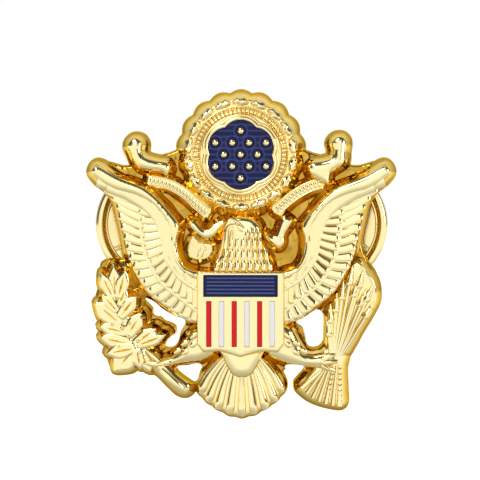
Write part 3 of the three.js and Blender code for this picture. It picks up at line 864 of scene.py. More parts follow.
featherRows = [
    {"inner": "divider", "outer": "edge", "count": 17, "height": 2.2, "drop": 0.04, "fat": 1.16,
     "tuck": 0.15, "over": 0.0, "lean": 0.16},
    {"inner": "shoulder", "outer": "divider", "count": 15, "height": 2.3, "drop": 0.06, "fat": 1.14,
     "tuck": 0.15, "over": 0.12, "lean": 0.16},
    {"inner": "rimInside", "outer": "shoulder", "count": 14, "height": 2.38, "drop": 0.03, "fat": 1.1,
     "tuck": 0.1, "over": 0.25, "lean": 0.1},
]
wingShape = {"flatness": 0.34, "sides": 14, "dividers": (("divider", 2.29, 0.26), ("shoulder", 2.40, 0.22)),
             "bend": 0.05, "tipStart": 0.82, "tipDrop": 0.06, "moreLean": 1.7, "rimHeight": 2.75}


def bluntTip(share, start, leftOver):    # width share that rounds off towards the end of a blade
    return math.sqrt(max(1 - max((share - start) / (1 - start), 0) ** 2.4, leftOver))


def feathers(side, row):
    inner = throughPoints(wingLines[row["inner"]], closed=False)
    outer = throughPoints(wingLines[row["outer"]], closed=False)
    pitchIn, pitchOut = lengthOf(inner) / row["count"], lengthOf(outer) / row["count"]
    strands = []
    for k in range(row["count"]):
        u = (k + 0.5) / row["count"]
        start = along(inner, u)
        chord = along(outer, u) - start
        bend = np.array([-chord[1], chord[0]]) * wingShape["bend"]
        points = []
        for t in np.linspace(-row["tuck"], 1 + row["over"], 11):
            share = (t + row["tuck"]) / (1 + row["over"] + row["tuck"])
            tip = bluntTip(share, wingShape["tipStart"], 0.0)
            place = start + chord * t + bend * math.sin(math.pi * share)
            half = 0.5 * row["fat"] * (pitchIn + (pitchOut - pitchIn) * t) * max(tip, 0.3)
            height = row["height"] - row["drop"] * share - wingShape["tipDrop"] * (1 - tip)
            points.append((side * place[0], height, place[1], half))
        leansMore = side < 0 or (row["outer"] == "edge" and u < 0.45)
        lean = side * row["lean"] * (wingShape["moreLean"] if leansMore else 1.0)
        strands.append({"points": points, "lean": lean})
    return strands


for side, sign in (("left", 1), ("right", -1)):
    strands = [s for row in featherRows for s in feathers(sign, row)]
    for line, height, half in wingShape["dividers"]:
        track = throughPoints(wingLines[line], closed=False, pitch=0.3)
        strands.append({"points": [(sign * x, height, z, half) for x, z in track]})
    castBlades(side + "WingFeathers", strands, wingShape["flatness"], wingShape["sides"])
    rim = wingLines["rimInside"] + wingLines["rimOutside"]
    rim = throughPoints(mirrored(rim) if side == "right" else rim, pitch=0.12)
    cast(slab(side + "WingRim", rim, wingShape["rimHeight"], low=1.6, shoulder=0.75, drop=0.42, draft=0.05,
              grid=0.14))
print("wings feathered")


# glory: cloud puffs round the edge, fine rays, and a double border round the star field

gloryShape = {"puffs": 18, "rays": 66, "rayStart": 3.56, "rayLength": 0.68, "rayHeight": 2.2, "wobble": 0.012,
              "borders": ((hexafoil(0.13, 180), 2.45, 0.17), (hexafoil(0.40, 180), 2.42, 0.13),
                          (scallops(4.27, 0.0, 120), 2.34, 0.07))}


def cloudPuff():
    outline = [(0.80 * math.cos(a), 4.68 + 0.43 * math.sin(a) + 0.07 * math.cos(6 * a) * abs(math.sin(a)))
               for a in np.linspace(0, 2 * math.pi, 36, endpoint=False)]
    knots = [(-0.5, 4.64), (-0.17, 4.78), (0.2, 4.62), (0.52, 4.7)]

    def bumps(x, z, away):
        return sum(0.15 * np.exp(-((x - a) ** 2 + (z - b) ** 2) / 0.035) for a, b in knots)
    return slab("puff", outline, 2.46, low=1.9, shoulder=0.34, drop=0.26, draft=0.1, crown=0.04, grid=0.09,
                relief=bumps)


def rays():
    strands = []
    for k in range(gloryShape["rays"]):
        angle = 2 * math.pi * (k + 0.5) / gloryShape["rays"]
        wobble = gloryShape["wobble"] * math.sin(k * 2.7)
        points = []
        for t in np.linspace(0, 1, 5):
            r = gloryShape["rayStart"] + gloryShape["rayLength"] * t
            points.append((gloryCentre[0] + r * math.cos(angle + wobble * t), gloryShape["rayHeight"],
                           gloryCentre[1] + r * math.sin(angle + wobble * t), 0.085 + 0.02 * t))
        strands.append({"points": points})
    return strands


puff = cloudPuff()
cast(growPiece("gloryPuffs", meshObject("puffCentre", [(0, 0, 0)], []), shapeTrees["ring"], {
    "Piece": puff, "Count": gloryShape["puffs"], "Centre": (0, 0, gloryCentre[1] * mm), "Finish": gold}))
discard([puff])
castBlades("gloryRays", rays(), 2.2, 8)
castBlades("gloryBorder", [loopStrand(*border) for border in gloryShape["borders"]], 1.0, 14)


def studPlaces():    # thirteen studs in rows of 1, 4, 3, 4 and 1
    return [((i - (count - 1) / 2) * 1.5, gloryCentre[1] + (2 - row) * 1.05)
            for row, count in enumerate((1, 4, 3, 4, 1)) for i in range(count)]


def domeStamp(name, radius, tall, sides=20, rings=5):
    climb = np.linspace(0, math.pi / 2, rings + 1)[:-1]
    profile = [(radius, -0.3)] + [(radius * math.cos(a), tall * math.sin(a)) for a in climb]
    verts = [(r * math.cos(2 * math.pi * i / sides), h, r * math.sin(2 * math.pi * i / sides))
             for r, h in profile for i in range(sides)]
    verts.append((0, tall, 0))
    faces = [tuple(reversed(range(sides)))]
    for start in range(0, rings * sides, sides):
        faces += [(start + i, start + (i + 1) % sides, start + sides + (i + 1) % sides, start + sides + i)
                  for i in range(sides)]
    top = rings * sides
    faces += [(top + i, top + (i + 1) % sides, top + sides) for i in range(sides)]
    return meshObject(name, verts, faces)


cast(domes("starStuds", [(x, 2.42, z, 1) for x, z in studPlaces()], domeStamp("stud", 0.31, 0.26), gold))
print("glory built")


# enamel, with raised lines showing pale where the colour lies thin

def enamelPiece(name, node, outline, material, low, high, grid, lines=None):
    piece = slab(name, outline, high, low=low, shoulder=0.05, draft=0.0, grid=grid,
                 relief=(lambda x, z, away: 0.07 * lines(x, z)) if lines else None)
    places = np.array([v.co for v in piece.data.vertices]) / mm
    values = np.clip(lines(places[:, 0], places[:, 2]), 0, 1) if lines else np.zeros(len(places))
    inFront = -places[:, 1] > high - 0.06
    thin = piece.data.attributes.new("thin", "FLOAT", "POINT")
    thin.data.foreach_set("value", np.where(inFront, values, 0))
    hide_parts(node)
    return finishWith(piece, "badge", material)


def starLines(x, z):    # a halo round every stud, and level lines between them
    away = np.full(x.shape, 9.0)
    for a, b in studPlaces():
        away = np.minimum(away, np.hypot(x - a, z - b))
    wave = np.cos(2 * math.pi * (z - gloryCentre[1]) / 0.525)
    lines = 0.7 * np.clip(wave - 0.4, 0, 1) * np.clip((away - 0.62) / 0.1, 0, 1)
    halo, bare = np.exp(-((away - 0.58) / 0.06) ** 2), np.exp(-((away - 0.42) / 0.1) ** 2)
    return 0.8 * lines + 0.6 * halo - 0.8 * bare


def chiefLines(x, z):
    middle = -5.35
    wave = np.cos(2 * math.pi * (z - middle) / 0.33)
    inside = np.clip((3.05 - np.abs(x)) / 0.08, 0, 1) * np.clip((0.82 - np.abs(z - middle)) / 0.05, 0, 1)
    return np.clip(wave + 0.1, 0, 1) * inside


enamelGap = 0.02    # all round and below each fill
enamelPiece("starFieldFill", "star_field_enamel", hexafoil(-enamelGap, 160), navyEnamel, 2.12,
            2.44, 0.07, starLines)
enamelPiece("chiefFill", "chief_enamel", chiefBox(-enamelGap), navyEnamel,
            bedFloor + enamelGap, heights["shield"] - 0.07, 0.06, chiefLines)
for i in range(shieldBoxes["stripes"]):
    colour, paint = (("red", redEnamel), ("white", whiteEnamel))[i % 2]
    number = i // 2 + 1
    enamelPiece("%sStripeFill%d" % (colour, number), "%s_stripe_enamel_%d" % (colour, number),
                stripeBox(i, 0.07, -enamelGap), paint, bedFloor + enamelGap,
                heights["shield"] - 0.06, 0.12)
print("enamel filled")


# head and neck

neckRows = [    # count, left, right, top, bottom, half width, height
    (4, 0.55, 1.6, -0.3, -1.1, 0.19, 2.88), (6, -0.75, 1.6, -0.95, -2.15, 0.22, 2.90),
    (8, -1.25, 2.15, -2.0, -3.15, 0.23, 2.92), (9, -1.95, 2.45, -3.0, -4.05, 0.26, 2.94)]
throat = [
    [(-1.15, 2.75, -0.2, 0.16), (-1.25, 2.75, -1, 0.2), (-1.3, 2.75, -1.8, 0.2), (-1.35, 2.72, -2.5, 0.12)],
    [(-0.75, 2.9, -0.4, 0.1), (-0.85, 2.9, -1.1, 0.16), (-0.9, 2.88, -1.9, 0.16), (-1.0, 2.85, -2.4, 0.1)],
    [(-1.5, 2.6, -0.9, 0.1), (-1.6, 2.55, -1.7, 0.15), (-1.8, 2.55, -2.5, 0.15), (-2.05, 2.5, -3.2, 0.1)]]
brow = [
    [(-0.95, 3.0, 0.62, 0.07), (-0.45, 3.06, 0.42, 0.1), (0.0, 3.08, 0.12, 0.1), (0.35, 3.04, -0.2, 0.05)],
    [(-0.35, 3.0, -0.15, 0.05), (-0.1, 3.02, -0.4, 0.09), (0.25, 3.02, -0.55, 0.05)]]
beak = [(-0.35, 0.6), (-0.85, 0.68), (-1.2, 0.45), (-1.42, 0.1), (-1.42, -0.3), (-1.2, -0.1), (-0.95, 0.02),
        (-0.6, 0.05), (-0.35, 0.2)]


def strandsOf(rows):
    return [{"points": points} for points in rows]


def lobeRow(count, left, right, top, bottom, half, height):    # short overlapping feathers, splayed below
    rows = []
    for x in np.linspace(left, right, count):
        splay = 0.10 * (top - bottom)
        points = []
        for t in np.linspace(0, 1, 7):
            taper = 1 if t < 0.8 else 1.9 - 1.15 * t
            width = half * (0.55 + 0.45 * math.sin(math.pi * min(t * 1.3, 0.5))) * taper
            rise = 0.05 - 0.03 * x * x - 0.17 * (1 - t) - 0.3 * max(t - 0.85, 0)
            points.append((x + splay * (x - 0.3) * t, height + rise, top + (bottom - top) * t, width))
        rows.append(points)
    return rows


cast(slab("beak", throughPoints(beak, pitch=0.08), 2.98, low=2.3, shoulder=0.16, draft=0.1, crown=0.12,
          grid=0.09))
castBlades("neckFeathers", strandsOf([points for row in neckRows for points in lobeRow(*row)] + throat), 0.9)
castBlades("browLines", strandsOf(brow), 0.8)
cast(domes("eye", [(-0.33, 3.0, 0.12, 1)], domeStamp("pupil", 0.13, 0.1, sides=12, rings=3), gold))


# ribbon: raised edges and ribs along each band, and the folds either side of the neck

bandCentres = [
    [(-8.2, 4.02), (-6.5, 3.68), (-5.0, 2.85), (-3.9, 1.85), (-3.0, 1.05)],
    [(7.2, 3.75), (6.2, 3.45), (5.0, 2.8), (4.0, 2.05), (3.15, 1.3)]]
bandShape = {"ribPitch": 0.36, "ribReach": 0.28, "middle": (2.06, 0.15), "side": (1.98, 0.10),
             "edgeOffset": 0.42, "edgeHeight": 1.92, "edgeHalf": 0.07}
foldLines = [
    [(-3.95, 1.62, -1.35, 0.07), (-3.6, 1.64, -1.95, 0.09), (-3.9, 1.62, -2.9, 0.07)],
    [(-3.5, 1.62, -1.55, 0.06), (-3.15, 1.64, -2.1, 0.08), (-3.55, 1.62, -2.95, 0.06)]]


def acrossBand(line, u):
    return directions(along(line, min(u + 0.02, 1.0)) - along(line, max(u - 0.02, 0.0)))[1]


ribs, edges = [], []
for centres in bandCentres:
    line = throughPoints(centres, closed=False, pitch=0.1)
    count = int(lengthOf(line) / bandShape["ribPitch"])
    for k in range(count):
        u = (k + 0.6) / count
        here, skew = along(line, u), acrossBand(line, u) * bandShape["ribReach"]
        ribs.append([(*(here - skew), "side"), (*here, "middle"), (*(here + skew), "side")])
    for offset in (-bandShape["edgeOffset"], bandShape["edgeOffset"]):
        track = [along(line, u) + acrossBand(line, u) * offset for u in np.linspace(0.03, 0.97, 24)]
        edges.append([(x, bandShape["edgeHeight"], z, bandShape["edgeHalf"]) for x, z in track])
ribs = [[(x, bandShape[part][0], z, bandShape[part][1]) for x, z, part in rib] for rib in ribs]
castBlades("ribbonRibs", strandsOf(ribs + edges + foldLines), 0.8, 10)
print("head and ribbon built")


# tail: ribbed feathers fanned from under the shield, and the smooth heart above them

def tailStrands():
    strands = []
    for share in np.linspace(-1, 1, tailFan["count"]):
        angle = math.radians(tailFan["spread"] * share)
        reach = tailFan["length"] - tailFan["shorterAtSides"] * share * share - tailFan["start"]
        points = []
        for t in np.linspace(0, 1, 13):
            r = tailFan["start"] + reach * t
            tip = bluntTip(t, 0.86, 0.3)
            half = tailFan["halfWidths"][0] + (tailFan["halfWidths"][1] - tailFan["halfWidths"][0]) * t
            bow = tailFan["bow"] * share * math.sin(math.pi * t)
            points.append((tailFan["origin"][0] + r * math.sin(angle) + bow,
                           tailFan["height"] + tailFan["lift"] * t - 0.08 * (1 - tip),
                           tailFan["origin"][1] - r * math.cos(angle), half * tip))
        strands.append(points)
    return strandsOf(strands)


heart = [(-1.9, -11.2), (-1.6, -11.9), (-1.2, -12.75), (-0.6, -13.5), (0.2, -13.65), (0.9, -13.45),
         (1.5, -12.6), (1.9, -11.8), (2.1, -11.2)]
castBlades("tailFeathers", tailStrands(), 0.85, 16)
cast(slab("tailHeart", throughPoints(heart), 2.6, low=1.6, shoulder=0.9, drop=0.5, draft=0.1, grid=0.15))


# legs: talons spread over the branch and the arrows, and tufts where each leg leaves the shield

talons = [
    [(-7.3, 2.25, -12.2, 0.3), (-7.9, 2.3, -11.7, 0.26), (-8.4, 2.2, -11.2, 0.14)],
    [(-7.4, 2.3, -12.5, 0.3), (-8.1, 2.35, -12.4, 0.26), (-8.7, 2.2, -12.3, 0.13)],
    [(7.3, 2.3, -12.1, 0.32), (7.9, 2.4, -11.7, 0.28), (8.5, 2.25, -11.5, 0.16)],
    [(7.3, 2.3, -12.3, 0.32), (8.0, 2.4, -12.2, 0.28), (8.7, 2.25, -12.2, 0.15)],
    [(7.2, 2.3, -12.5, 0.3), (7.8, 2.35, -12.8, 0.24), (8.4, 2.2, -13.0, 0.13)]]
tuftPlaces = ((3.95, -9.7), (4.0, -10.5), (4.75, -10.35), (4.7, -11.15), (5.4, -11.05))
tufts = [[(side * (x + 0.55 * t), 2.44 - 0.05 * t, z - 0.42 * t, width)
          for t, width in ((0, 0.16), (0.3, 0.27), (0.65, 0.27), (1.0, 0.10))]
         for side in (1, -1) for x, z in tuftPlaces]
castBlades("talons", strandsOf(talons), 0.8)
castBlades("thighTufts", strandsOf(tufts), 0.5)


# branch: small berries and the stub of the stem

stub = [(-7.2, 2.05, -13.0, 0.3), (-6.6, 2.12, -13.55, 0.4), (-5.8, 2.12, -14.25, 0.4),
        (-5.25, 2.05, -14.75, 0.36), (-5.0, 1.95, -14.95, 0.22)]
berries = [    # x, height, z, size
    (-11.3, 2.25, -6.6, 1.1), (-10.6, 2.2, -7.2, 1.0), (-10.6, 2.3, -9.2, 1.2), (-9.95, 2.2, -8.8, 0.9),
    (-10.1, 2.25, -10.0, 1.0), (-11.5, 2.2, -8.9, 0.9), (-9.2, 2.25, -10.4, 1.0), (-9.0, 2.2, -11.4, 1.0),
    (-10.9, 2.2, -10.9, 0.9)]
castBlades("branchStub", strandsOf([stub]), 0.7, 16)
cast(domes("berries", berries, domeStamp("berry", 0.17, 0.16, sides=12, rings=4), gold))


# arrows: heads, shafts gathered in the claw, and the ribbed fletching below

arrowTips = [
    (7.75, -8.2), (8.0, -7.0), (8.6, -6.0), (9.2, -4.9), (10.0, -3.6), (10.5, -4.7), (11.0, -3.9),
    (11.3, -5.6), (11.9, -5.2), (12.0, -6.8)]
arrowShape = {"gather": (8.55, -11.6), "footPitch": 0.11, "headLength": 1.6, "headProfile": (
    (0.0, 0.03), (0.4, 0.17), (0.8, 0.31), (1.0, 0.36), (1.1, 0.3), (1.13, 0.1))}
vaneShape = {"tops": [(7.2, -13.1), (7.9, -12.7), (8.9, -12.5)], "count": 7,
             "ends": [(5.5, -14.6), (6.1, -15.25), (7.0, -15.75), (7.9, -16.05), (8.85, -16.2)]}


def barbs(vane, count=7, half=0.07, height=2.22, slant=0.6):    # short ribs sloping back from a vane
    line = np.array([(x, z) for x, h, z, width in vane])
    widths = [width for x, h, z, width in vane]
    way, across = directions(line[-1] - line[0])
    rows = []
    for u in (np.arange(count) + 0.7) / (count + 0.4):
        here = along(line, u)
        reach = np.interp(u, np.linspace(0, 1, len(widths)), widths) * 0.92
        left, right = (here + (side * across - way * slant) * reach for side in (1, -1))
        rows.append([(left[0], height, left[1], half), (here[0], height + 0.06, here[1], half),
                     (right[0], height, right[1], half)])
    return rows


shafts, heads = [], []
for k, (x, z) in enumerate(arrowTips):
    foot = (arrowShape["gather"][0] + arrowShape["footPitch"] * (k - 4.5), arrowShape["gather"][1])
    run = np.array([foot[0] - x, foot[1] - z])
    way = directions(run)[0] * arrowShape["headLength"]
    shafts.append([(x + run[0] * t, 2.2, z + run[1] * t, 0.26 - 0.1 * t) for t in np.linspace(0.1, 1, 8)])
    heads.append([(x + way[0] * t, 2.3, z + way[1] * t, half) for t, half in arrowShape["headProfile"]])
castBlades("arrowShafts", strandsOf(shafts), 1.15)
castBlades("arrowHeads", strandsOf(heads), 0.95, 8)
vaneTops, vaneEnds = (throughPoints(vaneShape[key], closed=False) for key in ("tops", "ends"))
vanes = []
for u in np.linspace(0, 1, vaneShape["count"]):
    top, run = along(vaneTops, u), along(vaneEnds, u) - along(vaneTops, u)
    vanes.append([(top[0] + run[0] * t, 2.08, top[1] + run[1] * t, 0.13 + 0.14 * t)
                  for t in np.linspace(0, 1, 7)])
castBlades("fletchingVanes", strandsOf(vanes), 1.15)
castBlades("fletchingBarbs", strandsOf(barbs(vanes[4]) + barbs(vanes[6])), 1.0, 6)
print("tail, legs, branch and arrows built")


# pins and butterfly clutches, turned and bent from the same sizes as the CAD

pinAt = {"left": -7.65, "right": 7.65}
clutchRim = 1.2    # how far the clutch's rim stands behind the back face


def outwardFaces(piece, recalculate=False):
    shell = bmesh.new()
    shell.from_mesh(piece.data)
    if recalculate:
        bmesh.ops.recalc_face_normals(shell, faces=shell.faces)
    if shell.calc_volume(signed=True) < 0:
        bmesh.ops.reverse_faces(shell, faces=shell.faces)
    shell.to_mesh(piece.data)
    shell.free()
    return piece


def lathe(name, profile, centreX, baseY, segments=96):    # profile is radius and distance behind the base
    verts, faces, rings = [], [], []
    for r, y in profile:
        count = segments if r > 1e-6 else 1
        rings.append([len(verts) + k % count for k in range(segments)])
        verts += [(centreX + r * math.cos(2 * math.pi * k / segments), -(baseY + y),
                   r * math.sin(2 * math.pi * k / segments)) for k in range(count)]
    last = len(rings) if profile[0][0] > 1e-6 else len(rings) - 1    # a bored part closes on itself
    for i in range(last):
        here, there = rings[i], rings[(i + 1) % len(rings)]
        for k in range(segments):
            j = (k + 1) % segments
            faces.append(tuple(dict.fromkeys([here[k], here[j], there[j], there[k]])))
    return outwardFaces(meshObject(name, verts, faces, 40))


def arcPoints(centre, radius, start, end, steps=6):
    return [(centre[0] + radius * math.cos(math.radians(a)), centre[1] + radius * math.sin(math.radians(a)))
            for a in np.linspace(start, end, steps)]


def bentSheet(name, path, thickness, span, bendsAlong, origin):
    # a sheet bent along a path of points, as wide as span; it bends along "x" and spans z, or the other way
    path = np.array(path)
    ways = unitRows(np.gradient(path, axis=0))
    across = np.stack([-ways[:, 1], ways[:, 0]], axis=1) * thickness / 2
    section = np.concatenate([path + across, (path - across)[::-1]])
    verts = []
    for edge in (-span / 2, span / 2):
        for u, y in section:
            x, z = (u, edge) if bendsAlong == "x" else (edge, u)
            verts.append((origin[0] + x, -(origin[1] + y), z))
    count = len(section)
    faces = [(i, (i + 1) % count, count + (i + 1) % count, count + i) for i in range(count)]
    for start in (0, count):
        faces += [(start + i, start + i + 1, start + count - 2 - i, start + count - 1 - i)
                  for i in range(count // 2 - 1)]
    return outwardFaces(meshObject(name, verts, faces, 40), recalculate=True)


def eased(name, shell, width, segments=2):    # rounded edges
    bevel = shell.modifiers.new("edges", "BEVEL")
    bevel.width = width * mm
    bevel.segments = segments
    bevel.limit_method = "ANGLE"
    bevel.angle_limit = math.radians(50)
    piece = frozen(name, shell)
    discard([shell])
    return softShade(piece, 40)


def cutRound(name, shell, radius, centre, low, high):
    hole = lathe("hole", [(0, low), (radius, low), (radius, high), (0, high)], centre[0], centre[1], 48)
    return fuse(name, [shell], [hole], 40)


pinShape = {"radius": 0.55, "length": 8.3, "flange": 2.0, "flangeHeight": 0.35, "groove": 0.08}
clutchShape = {"bore": 0.62, "radius": 5.75, "sheet": 0.3, "cageSpan": 5.0, "cageWidth": 4.2, "cageTop": 2.7,
               "cageBend": 0.45, "springLevel": 1.9, "ribs": 6, "ribSpacing": 0.28, "wingWidth": 3.4,
               "wingPath": [(1.25, 1.4), (2.3, 1.4), (3, 1.8), (3.4, 2.8), (3.8, 4.2), (4.4, 5.3),
                            (5.2, 5.7)]}


def buildPin(side):
    r, tall, thin = pinShape["radius"], pinShape["length"], pinShape["radius"] - pinShape["groove"]
    flange, flangeHeight = pinShape["flange"], pinShape["flangeHeight"]
    profile = [(0, 0.02), (flange - 0.04, 0.02)]
    profile += arcPoints((flange - 0.1, flangeHeight - 0.1), 0.1, 0, 90, 4)
    profile += [(r + 0.42, flangeHeight + 0.01), (r + 0.2, 0.42), (r + 0.06, 0.5), (r, 0.62)]
    profile += [(radius, tall - down) for radius, down in (
        (r, 2.0), (r - 0.03, 1.96), (thin, 1.88), (thin, 1.52), (r - 0.03, 1.44), (r, 1.4), (r, 1.12),
        (r - 0.05, 1.0), (r * 0.5, 0.45), (0.12, 0.06), (0, 0))]
    pin = lathe(side + "PinPost", profile, pinAt[side], 0.0, 40)
    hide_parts(side + "_pin")
    finishWith(pin, "badge", pinGold)


def discParts(side, x):    # the pressed disc, its radial ribs and two round beads
    radius = clutchShape["radius"]
    profile = [
        (1.05, 0.4), (4.6, 0.4), (4.78, 0.34), (4.95, 0.18), (5.1, 0.06), (5.3, 0.0), (5.5, 0.03),
        (5.66, 0.13), (radius, 0.3), (radius, 0.58), (5.66, 0.74), (5.5, 0.83), (5.3, 0.85), (5.12, 0.82),
        (5.02, 0.72), (4.8, 0.7), (1.05, 0.7)]
    plate = lathe(side + "DiscPlate", profile, x, clutchRim, 144)
    ridges = []
    for k in range(clutchShape["ribs"]):
        angle = 2 * math.pi * (k + 0.5) / clutchShape["ribs"]
        for offset in (-clutchShape["ribSpacing"] / 2, clutchShape["ribSpacing"] / 2):
            points = []
            for share in np.linspace(0, 1, 7):
                r = 1.75 + 3.0 * share
                half = 0.13 * math.sin(math.pi * (0.12 + 0.76 * share)) + 0.03
                points.append((x + r * math.cos(angle) - offset * math.sin(angle), -(clutchRim + 0.42),
                               r * math.sin(angle) + offset * math.cos(angle), half))
            ridges.append(points)
    turn = np.linspace(0, 2 * math.pi, 72, endpoint=False)
    beads = [{"closed": True, "points": [(x + r * math.cos(a), -(clutchRim + level), r * math.sin(a), 0.09)
                                         for a in turn]} for r, level in ((1.55, 0.42), (4.75, 0.36))]
    return [plate, blades(side + "Ribs", strandsOf(ridges), clutchGold, flatness=0.8, sides=10),
            blades(side + "Beads", beads, clutchGold, flatness=0.8, sides=10)]


def cagePath():    # up one wall, over the roof and down the other
    sheet, bend = clutchShape["sheet"], clutchShape["cageBend"]
    half, roof = clutchShape["cageWidth"] / 2 - sheet / 2, clutchShape["cageTop"] - sheet / 2
    wall = [0.72 + 0.15 * k for k in range(10)]
    flat = [(-half + bend + k * 2 * (half - bend) / 8, roof) for k in range(1, 8)]
    return ([(-half, y) for y in wall] + arcPoints((-half + bend, roof - bend), bend, 180, 90, 7) + flat
            + arcPoints((half - bend, roof - bend), bend, 90, 0, 7) + [(half, y) for y in reversed(wall)])


def buildClutch(side):
    at = (pinAt[side], clutchRim)
    bore, sheet = clutchShape["bore"], clutchShape["sheet"]

    def place(piece, node, body, slot="clutch_gold", material=clutchGold):
        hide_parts("%s_clutch_%s" % (side, node))
        finishWith(piece, "%s_clutch_%s" % (side, body), material)

    ferrule = lathe(side + "Ferrule", [
        (bore, 0.2), (bore + 0.05, 0.15), (1.45, 0.15), (1.5, 0.19), (1.5, 0.31), (1.45, 0.35), (1.06, 0.35),
        (1.0, 0.4), (1.0, 0.9), (0.95, 0.95), (bore + 0.05, 0.95), (bore, 0.9)], *at, 64)
    place(ferrule, "ferrule", "slider")
    place(joined(side + "Disc", discParts(side, at[0])), "disc", "rotor")

    cage = bentSheet(side + "CageSheet", cagePath(), sheet, clutchShape["cageSpan"], "z", at)
    cage = eased(side + "Cage", cutRound(side + "CageHoled", cage, 0.9, at, 1.5, 4.0), 0.05)
    place(cage, "cage", "rotor")

    flat = [(-1.6 + 0.2 * k, clutchShape["springLevel"]) for k in range(17)]
    spring = bentSheet(side + "SpringSheet", flat, 0.2, 3.0, "x", at)
    spring = eased(side + "GripSpring", cutRound(side + "SpringHoled", spring, bore, at, 1.0, 3.0), 0.04)
    place(spring, "grip_spring", "rotor", "spring_steel", springSteel)

    bend = throughPoints(clutchShape["wingPath"], closed=False, pitch=0.18)
    for where in ("inner", "outer"):
        outward = 1 if (side == "left") == (where == "inner") else -1
        strip = bentSheet("%s%sStrip" % (side, where), [(outward * u, y) for u, y in bend], sheet,
                          clutchShape["wingWidth"], "x", at)
        wing = eased("%s%sWing" % (side, where.capitalize()), strip, 0.08, 3)
        place(wing, where + "_wing", where + "_wing_body")


for side in ("left", "right"):
    buildPin(side)
    buildClutch(side)
print("pins and clutches built")


# camera, light and floor

view = {"distance": 125.0, "azimuth": 1.0, "elevation": 2.0, "aim": (-0.08, -1.2, -1.35), "frameWidth": 43.2,
        "sensor": 36.0}
lamps = {    # place, size, power
    "topLight": ((-40, -70, 90), 60, 0.05), "sideLight": ((90, -60, 20), 40, 0.02)}
surroundings = {    # the stops hold levels, from 0 behind the part to 1 on the camera's side
    "stops": [(0.0, 0.62), (0.2, 0.6), (0.42, 0.4), (0.55, 0.12), (0.8, 0.05), (0.88, 0.10), (0.905, 0.55),
              (0.94, 0.9), (0.985, 1.04)],
    "towardsCamera": (-0.08, -0.993, 0.08), "patches": (-0.07, 0.05), "lowToHigh": (0.62, 1.6)}
floorShape = {"halfSpan": 2000.0, "level": -60.0, "color": (0.7, 0.7, 0.7, 1), "glow": (0.05, 0.75),
              "glowFrom": 70.0, "glowTo": 200.0, "seenGlow": 0.95}


def aimAt(holder, place, target):
    holder.location = place
    holder.rotation_euler = (target - place).to_track_quat("-Z", "Y").to_euler()


def buildCamera():
    camera = bpy.data.cameras.new("camera")
    azimuth, elevation = math.radians(view["azimuth"]), math.radians(view["elevation"])
    back = Vector((math.sin(azimuth) * math.cos(elevation), -math.cos(azimuth) * math.cos(elevation),
                   math.sin(elevation)))
    aim = Vector(view["aim"]) * mm
    scene.camera = newObject("camera", camera)
    aimAt(scene.camera, aim + back * view["distance"] * mm, aim)
    camera.sensor_width = view["sensor"]
    camera.lens = view["sensor"] * view["distance"] / view["frameWidth"]
    camera.clip_start = 0.001
    camera.clip_end = 10.0


def mapRange(tree, value, low, high, toLow, toHigh):
    return addNode(tree, "ShaderNodeMapRange", {
        "Value": value, "From Min": low, "From Max": high, "To Min": toLow, "To Max": toHigh}).outputs[0]


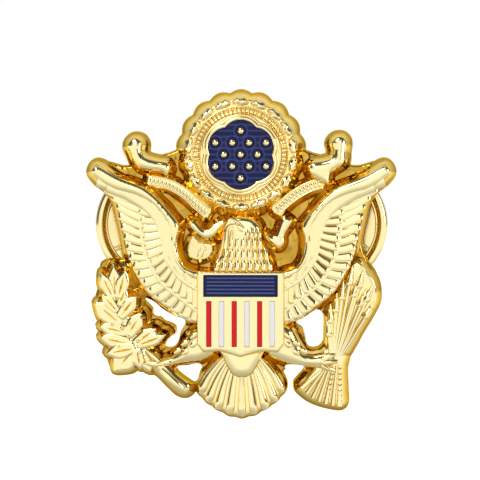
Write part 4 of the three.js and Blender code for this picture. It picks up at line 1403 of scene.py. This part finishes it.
def buildWorld():    # what the metal mirrors, over a plain white ground for the camera
    world = bpy.data.worlds.new("studio")
    scene.world = world
    world.use_nodes = True
    tree = world.node_tree
    tree.nodes.clear()
    place = addNode(tree, "ShaderNodeTexCoord").outputs["Generated"]
    toFront = addNode(tree, "ShaderNodeVectorMath", {0: place, 1: surroundings["towardsCamera"]},
                      operation="DOT_PRODUCT").outputs["Value"]
    patches = addNode(tree, "ShaderNodeTexNoise", {"Vector": place, "Scale": 3.5, "Detail": 2.0})
    warped = calculate(tree, "ADD", calculate(tree, "MULTIPLY_ADD", toFront, 0.5, 0.5),
                       mapRange(tree, patches.outputs["Fac"], 0.3, 0.7, *surroundings["patches"]))
    ramp = addNode(tree, "ShaderNodeValToRGB", {0: warped})
    stops = surroundings["stops"]
    ramp.color_ramp.elements[0].position = stops[0][0]
    ramp.color_ramp.elements[1].position = stops[-1][0]
    for position, level in stops[1:-1]:
        ramp.color_ramp.elements.new(position)
    for element, (position, level) in zip(ramp.color_ramp.elements, stops):
        element.color = (level, level, level, 1)
    sky = addNode(tree, "ShaderNodeSeparateXYZ", {0: place}).outputs["Z"]
    around = addNode(tree, "ShaderNodeBackground", {
        "Color": ramp.outputs[0], "Strength": mapRange(tree, sky, -0.5, 0.7, *surroundings["lowToHigh"])})
    seen = addNode(tree, "ShaderNodeBackground", {"Color": (1, 1, 1, 1)})
    direct = addNode(tree, "ShaderNodeLightPath").outputs["Is Camera Ray"]
    choose = addNode(tree, "ShaderNodeMixShader", {0: direct, 1: around.outputs[0], 2: seen.outputs[0]})
    addNode(tree, "ShaderNodeOutputWorld", {"Surface": choose.outputs[0]})


def buildLamps():
    for name, (place, size, power) in lamps.items():
        lamp = bpy.data.lights.new(name, "AREA")
        lamp.size = size * mm
        lamp.energy = power
        aimAt(newObject(name, lamp), Vector(place) * mm, Vector((0, 0, 0)))


def buildFloor():    # it glows in the metal's reflections, least of all under the part
    span, level = floorShape["halfSpan"] * mm, floorShape["level"] * mm
    data = bpy.data.meshes.new("floor")
    corners = [(-span, -span, level), (span, -span, level), (span, span, level), (-span, span, level)]
    data.from_pydata(corners, [], [(0, 1, 2, 3)])
    floor = newObject("floor", data)
    material, tree, shader = newMaterial("paleFloor")
    shader["Base Color"].default_value = floorShape["color"]
    shader["Roughness"].default_value = 0.9
    shader["Emission Color"].default_value = (1, 1, 1, 1)
    place = addNode(tree, "ShaderNodeTexCoord").outputs["Object"]
    reach = addNode(tree, "ShaderNodeVectorMath", {0: place}, operation="LENGTH").outputs["Value"]
    lit = mapRange(tree, reach, floorShape["glowFrom"] * mm, floorShape["glowTo"] * mm, *floorShape["glow"])
    glow = addNode(tree, "ShaderNodeMix", {
        "Factor": addNode(tree, "ShaderNodeLightPath").outputs["Is Camera Ray"], "A": lit,
        "B": floorShape["seenGlow"]}, data_type="FLOAT")
    tree.links.new(glow.outputs["Result"], shader["Emission Strength"])
    floor.data.materials.append(material)


buildCamera()
buildWorld()
buildLamps()
buildFloor()
scene.view_settings.view_transform = "Standard"
print("stage ready")
